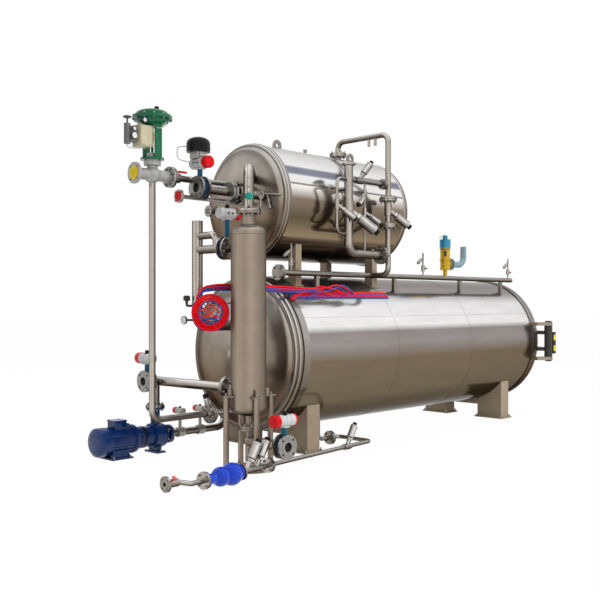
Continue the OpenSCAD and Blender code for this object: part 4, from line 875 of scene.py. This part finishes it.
# Blue end flanges of the strainer
rims = Form()
for at, r in ((24, 58), (356, 56)):
    rims.hoop(DRAIN_START + DRAIN * at, DRAIN, flat_ring(36.2, r, 7, 2, 2), 48)
rims.done("strainer_rims", bright)

# Door side: hinge caps, plain yellow patches, edge beads of door and mouth
hinge = Form()
for z, way in ((629, -Z), (1051, Z)):
    hinge.hoop((3800, -770, z), way, [
        (23, 0), (40, 0), (40, 2.5), (36, 3.5), (34, 4), (34, 12), (30, 14), (23, 14)], 24)
hinge.done("hinge_caps", dark)
patches = Form()
for z in (760, 880):
    patches.block((3854, -817.6, z), (40, 1.6, 60), bevel=0.5)
    patches.block((3883, -782, z), (1.6, 44, 60), bevel=0.5)
patches.done("hinge_patches", yellow, "door")
beads = Form()
beads.hoop((DOOR_X, 0, RETORT_Z), X, [
    (670, 6), (675.5, 9), (676.5, 22), (675.5, 36), (670, 39)], 128)
beads.done("door_rim_bead", polished, "door")
beads = Form()
beads.hoop((MOUTH_X, 0, RETORT_Z), X, [
    (670, 6), (675.5, 8), (676.5, 25), (675.5, 40), (670, 43)], 128)
beads.done("mouth_bead", polished)
# Rolled beads between the heads and their rings
beads = Form()
beads.hoop((0, 0, RETORT_Z), -X, [(627, 78), (625, 85), (618, 86), (606, 82), (598, 74)], 160)
beads.hoop((0, 0, RETORT_Z), -X, [(645, 44), (648, 52), (643, 58)], 160)
for x, way in ((24, -X), (1524, X)):
    beads.hoop((x, 0, TANK_Z), way, [(483, 62), (481, 71), (474, 73), (462, 70), (455, 63)], 140)
beads.done("head_beads", polished)

# Safety valve: rings, lever and dark blocks of painted shade in the windows of its yoke; stems and
# barrels of the header's valves
fit, handles, window_shade = Form(), Form(), Form()
fit.lathe((SAFETY_X, HEADER_Y, 1605), Z, [(50, -1), (54, 2), (54, 14), (50, 17)], 6)
fit.hoop((SAFETY_X, HEADER_Y, 1703), Z, flat_ring(49, 57, 9), 32)
fit.bolts((SAFETY_X, HEADER_Y, 1712), Z, 53, 8, 3, 4, 0)
fit.block((SAFETY_X - 50, HEADER_Y, 1945), (110, 12, 8), (X + Z * 0.35, Y, Z - X * 0.35), 2)
fit.done("safety_fittings", paint("brass", (0.60, 0.38, 0.04), (0.3, 0.42), 40, 0.75, metallic=0.7))
for x in (110, 1960, 3560):
    handles.lathe((x, HEADER_Y, 1690), Z, [(8.6, 0), (8.6, 62), (5, 72), (2, 78)], 14)
    handles.lathe((x - 4, HEADER_Y, 1718), (-0.8, 0, -0.6), [
        (5, 0), (8, 8), (8, 34), (17, 40), (17, 92), (12, 102), (5, 106)], 16)
handles.done("tap_handles", flange_steel)
# Painted shade: dark blocks stand for the shade inside the yoke's windows
for d in (Vector((-0.8, -0.6, 0)), Vector((0.8, 0.6, 0))):
    window_shade.block(Vector((SAFETY_X, HEADER_Y, 1768)) + d * 47.5, (26, 8, 60), (Z.cross(d), d, Z), 3)
window_shade.done("yoke_window_shade", dark)

# Sampling valve and stems on the column's top
greens, stems = Form(), Form()
greens.lathe((-640, -700, 2070), (-0.6, -0.8, 0), [(20, -36), (22, -34), (22, 34), (20, 36)], 24)
greens.lathe((-640, -700, 2070), Z, [
    (14, -26), (14, -20), (30, -18), (30, 18), (14, 20), (14, 26)], 24)
greens.done("sample_valve", light_green)
stems.tube([(-618, -672, 1982), (-640, -700, 1994), (-640, -700, 2120), (-600, -650, 2150),
            (-586, -636, 2150)], 9, turn=24)
stems.tube([(-520, -672, 1982), (-520, -700, 1990), (-520, -700, 2060)], 8, turn=16)
stems.lathe((-520, -700, 2056), Z, [(14, 0), (16, 2), (16, 26), (11, 30)], 6)
stems.done("sample_stems", pipework)


# Lamps: the metals mirror the white world and not the lamps
def lamp(name, place, target, size, power):
    data = bpy.data.lights.new(name, "AREA")
    data.shape = "RECTANGLE"
    data.size, data.size_y = size
    data.energy = power
    obj = bpy.data.objects.new(name, data)
    obj.location = place
    obj.rotation_euler = (Vector(target) - Vector(place)).to_track_quat("-Z", "Y").to_euler()
    obj.visible_glossy = False
    bpy.context.collection.objects.link(obj)


lamp("key", (-1.0, -8.0, 6.5), (0, 0, 1.0), (9, 7), 480)
lamp("top", (0.5, 0.5, 7.5), (0, 0, 1.0), (9, 6), 300)
lamp("side", (6.5, -5.0, 4.0), (0.5, 0, 1.0), (6, 5), 200)
lamp("rear", (-2.0, 7.5, 5.0), (0, 0, 1.0), (7, 5), 240)


# White backdrop and pale floor
WHITE = (1, 1, 1, 1)
WORLD_LIGHT = 0.45
FLOOR_GLOW = 0.98  # share of white in what the camera sees of the floor
FLOOR_HALF = 60


def seen(tree):
    """1 for what the camera, a mirror or glass sees of the backdrop, 0 for its light."""
    path = tree.nodes.new("ShaderNodeLightPath")
    total = path.outputs["Is Camera Ray"]
    for name in ("Is Glossy Ray", "Is Transmission Ray"):
        most = tree.nodes.new("ShaderNodeMath")
        most.operation = "MAXIMUM"
        tree.links.new(total, most.inputs[0])
        tree.links.new(path.outputs[name], most.inputs[1])
        total = most.outputs[0]
    return total


def blend(tree, fac, a, out_a, b, out_b, end):
    """Shader that goes from a to b by a factor, linked to the tree's output node."""
    mix = tree.nodes.new("ShaderNodeMixShader")
    tree.links.new(fac, mix.inputs[0])
    link(tree, a, out_a, mix, 1)
    link(tree, b, out_b, mix, 2)
    link(tree, mix, "Shader", tree.nodes[end], "Surface")


world = bpy.data.worlds.new("studio")
scene.world = world
world.use_nodes = True
tree = world.node_tree
sky = tree.nodes["Background"]
sky.inputs["Color"].default_value = WHITE
sky.inputs["Strength"].default_value = WORLD_LIGHT
shown = tree.nodes.new("ShaderNodeBackground")
shown.inputs["Color"].default_value = WHITE
shown.inputs["Strength"].default_value = 1
blend(tree, seen(tree), sky, "Background", shown, "Background", "World Output")

mat, tree, bsdf = nodes_of("pale_floor")
bsdf.inputs["Base Color"].default_value = (0.86, 0.855, 0.85, 1)
bsdf.inputs["Roughness"].default_value = 0.8
glow = tree.nodes.new("ShaderNodeEmission")
glow.inputs["Color"].default_value = WHITE
glow.inputs["Strength"].default_value = 1
dim = tree.nodes.new("ShaderNodeMath")
dim.operation = "MULTIPLY"
dim.inputs[1].default_value = FLOOR_GLOW
tree.links.new(seen(tree), dim.inputs[0])
blend(tree, dim.outputs[0], bsdf, "BSDF", glow, "Emission", "Material Output")
mesh = bpy.data.meshes.new("floor")
square = ((-1, -1), (1, -1), (1, 1), (-1, 1))
mesh.from_pydata([(x * FLOOR_HALF, y * FLOOR_HALF, -0.001) for x, y in square], [], [(0, 1, 2, 3)])
mesh.materials.append(mat)
floor = bpy.data.objects.new("floor", mesh)
bpy.context.collection.objects.link(floor)
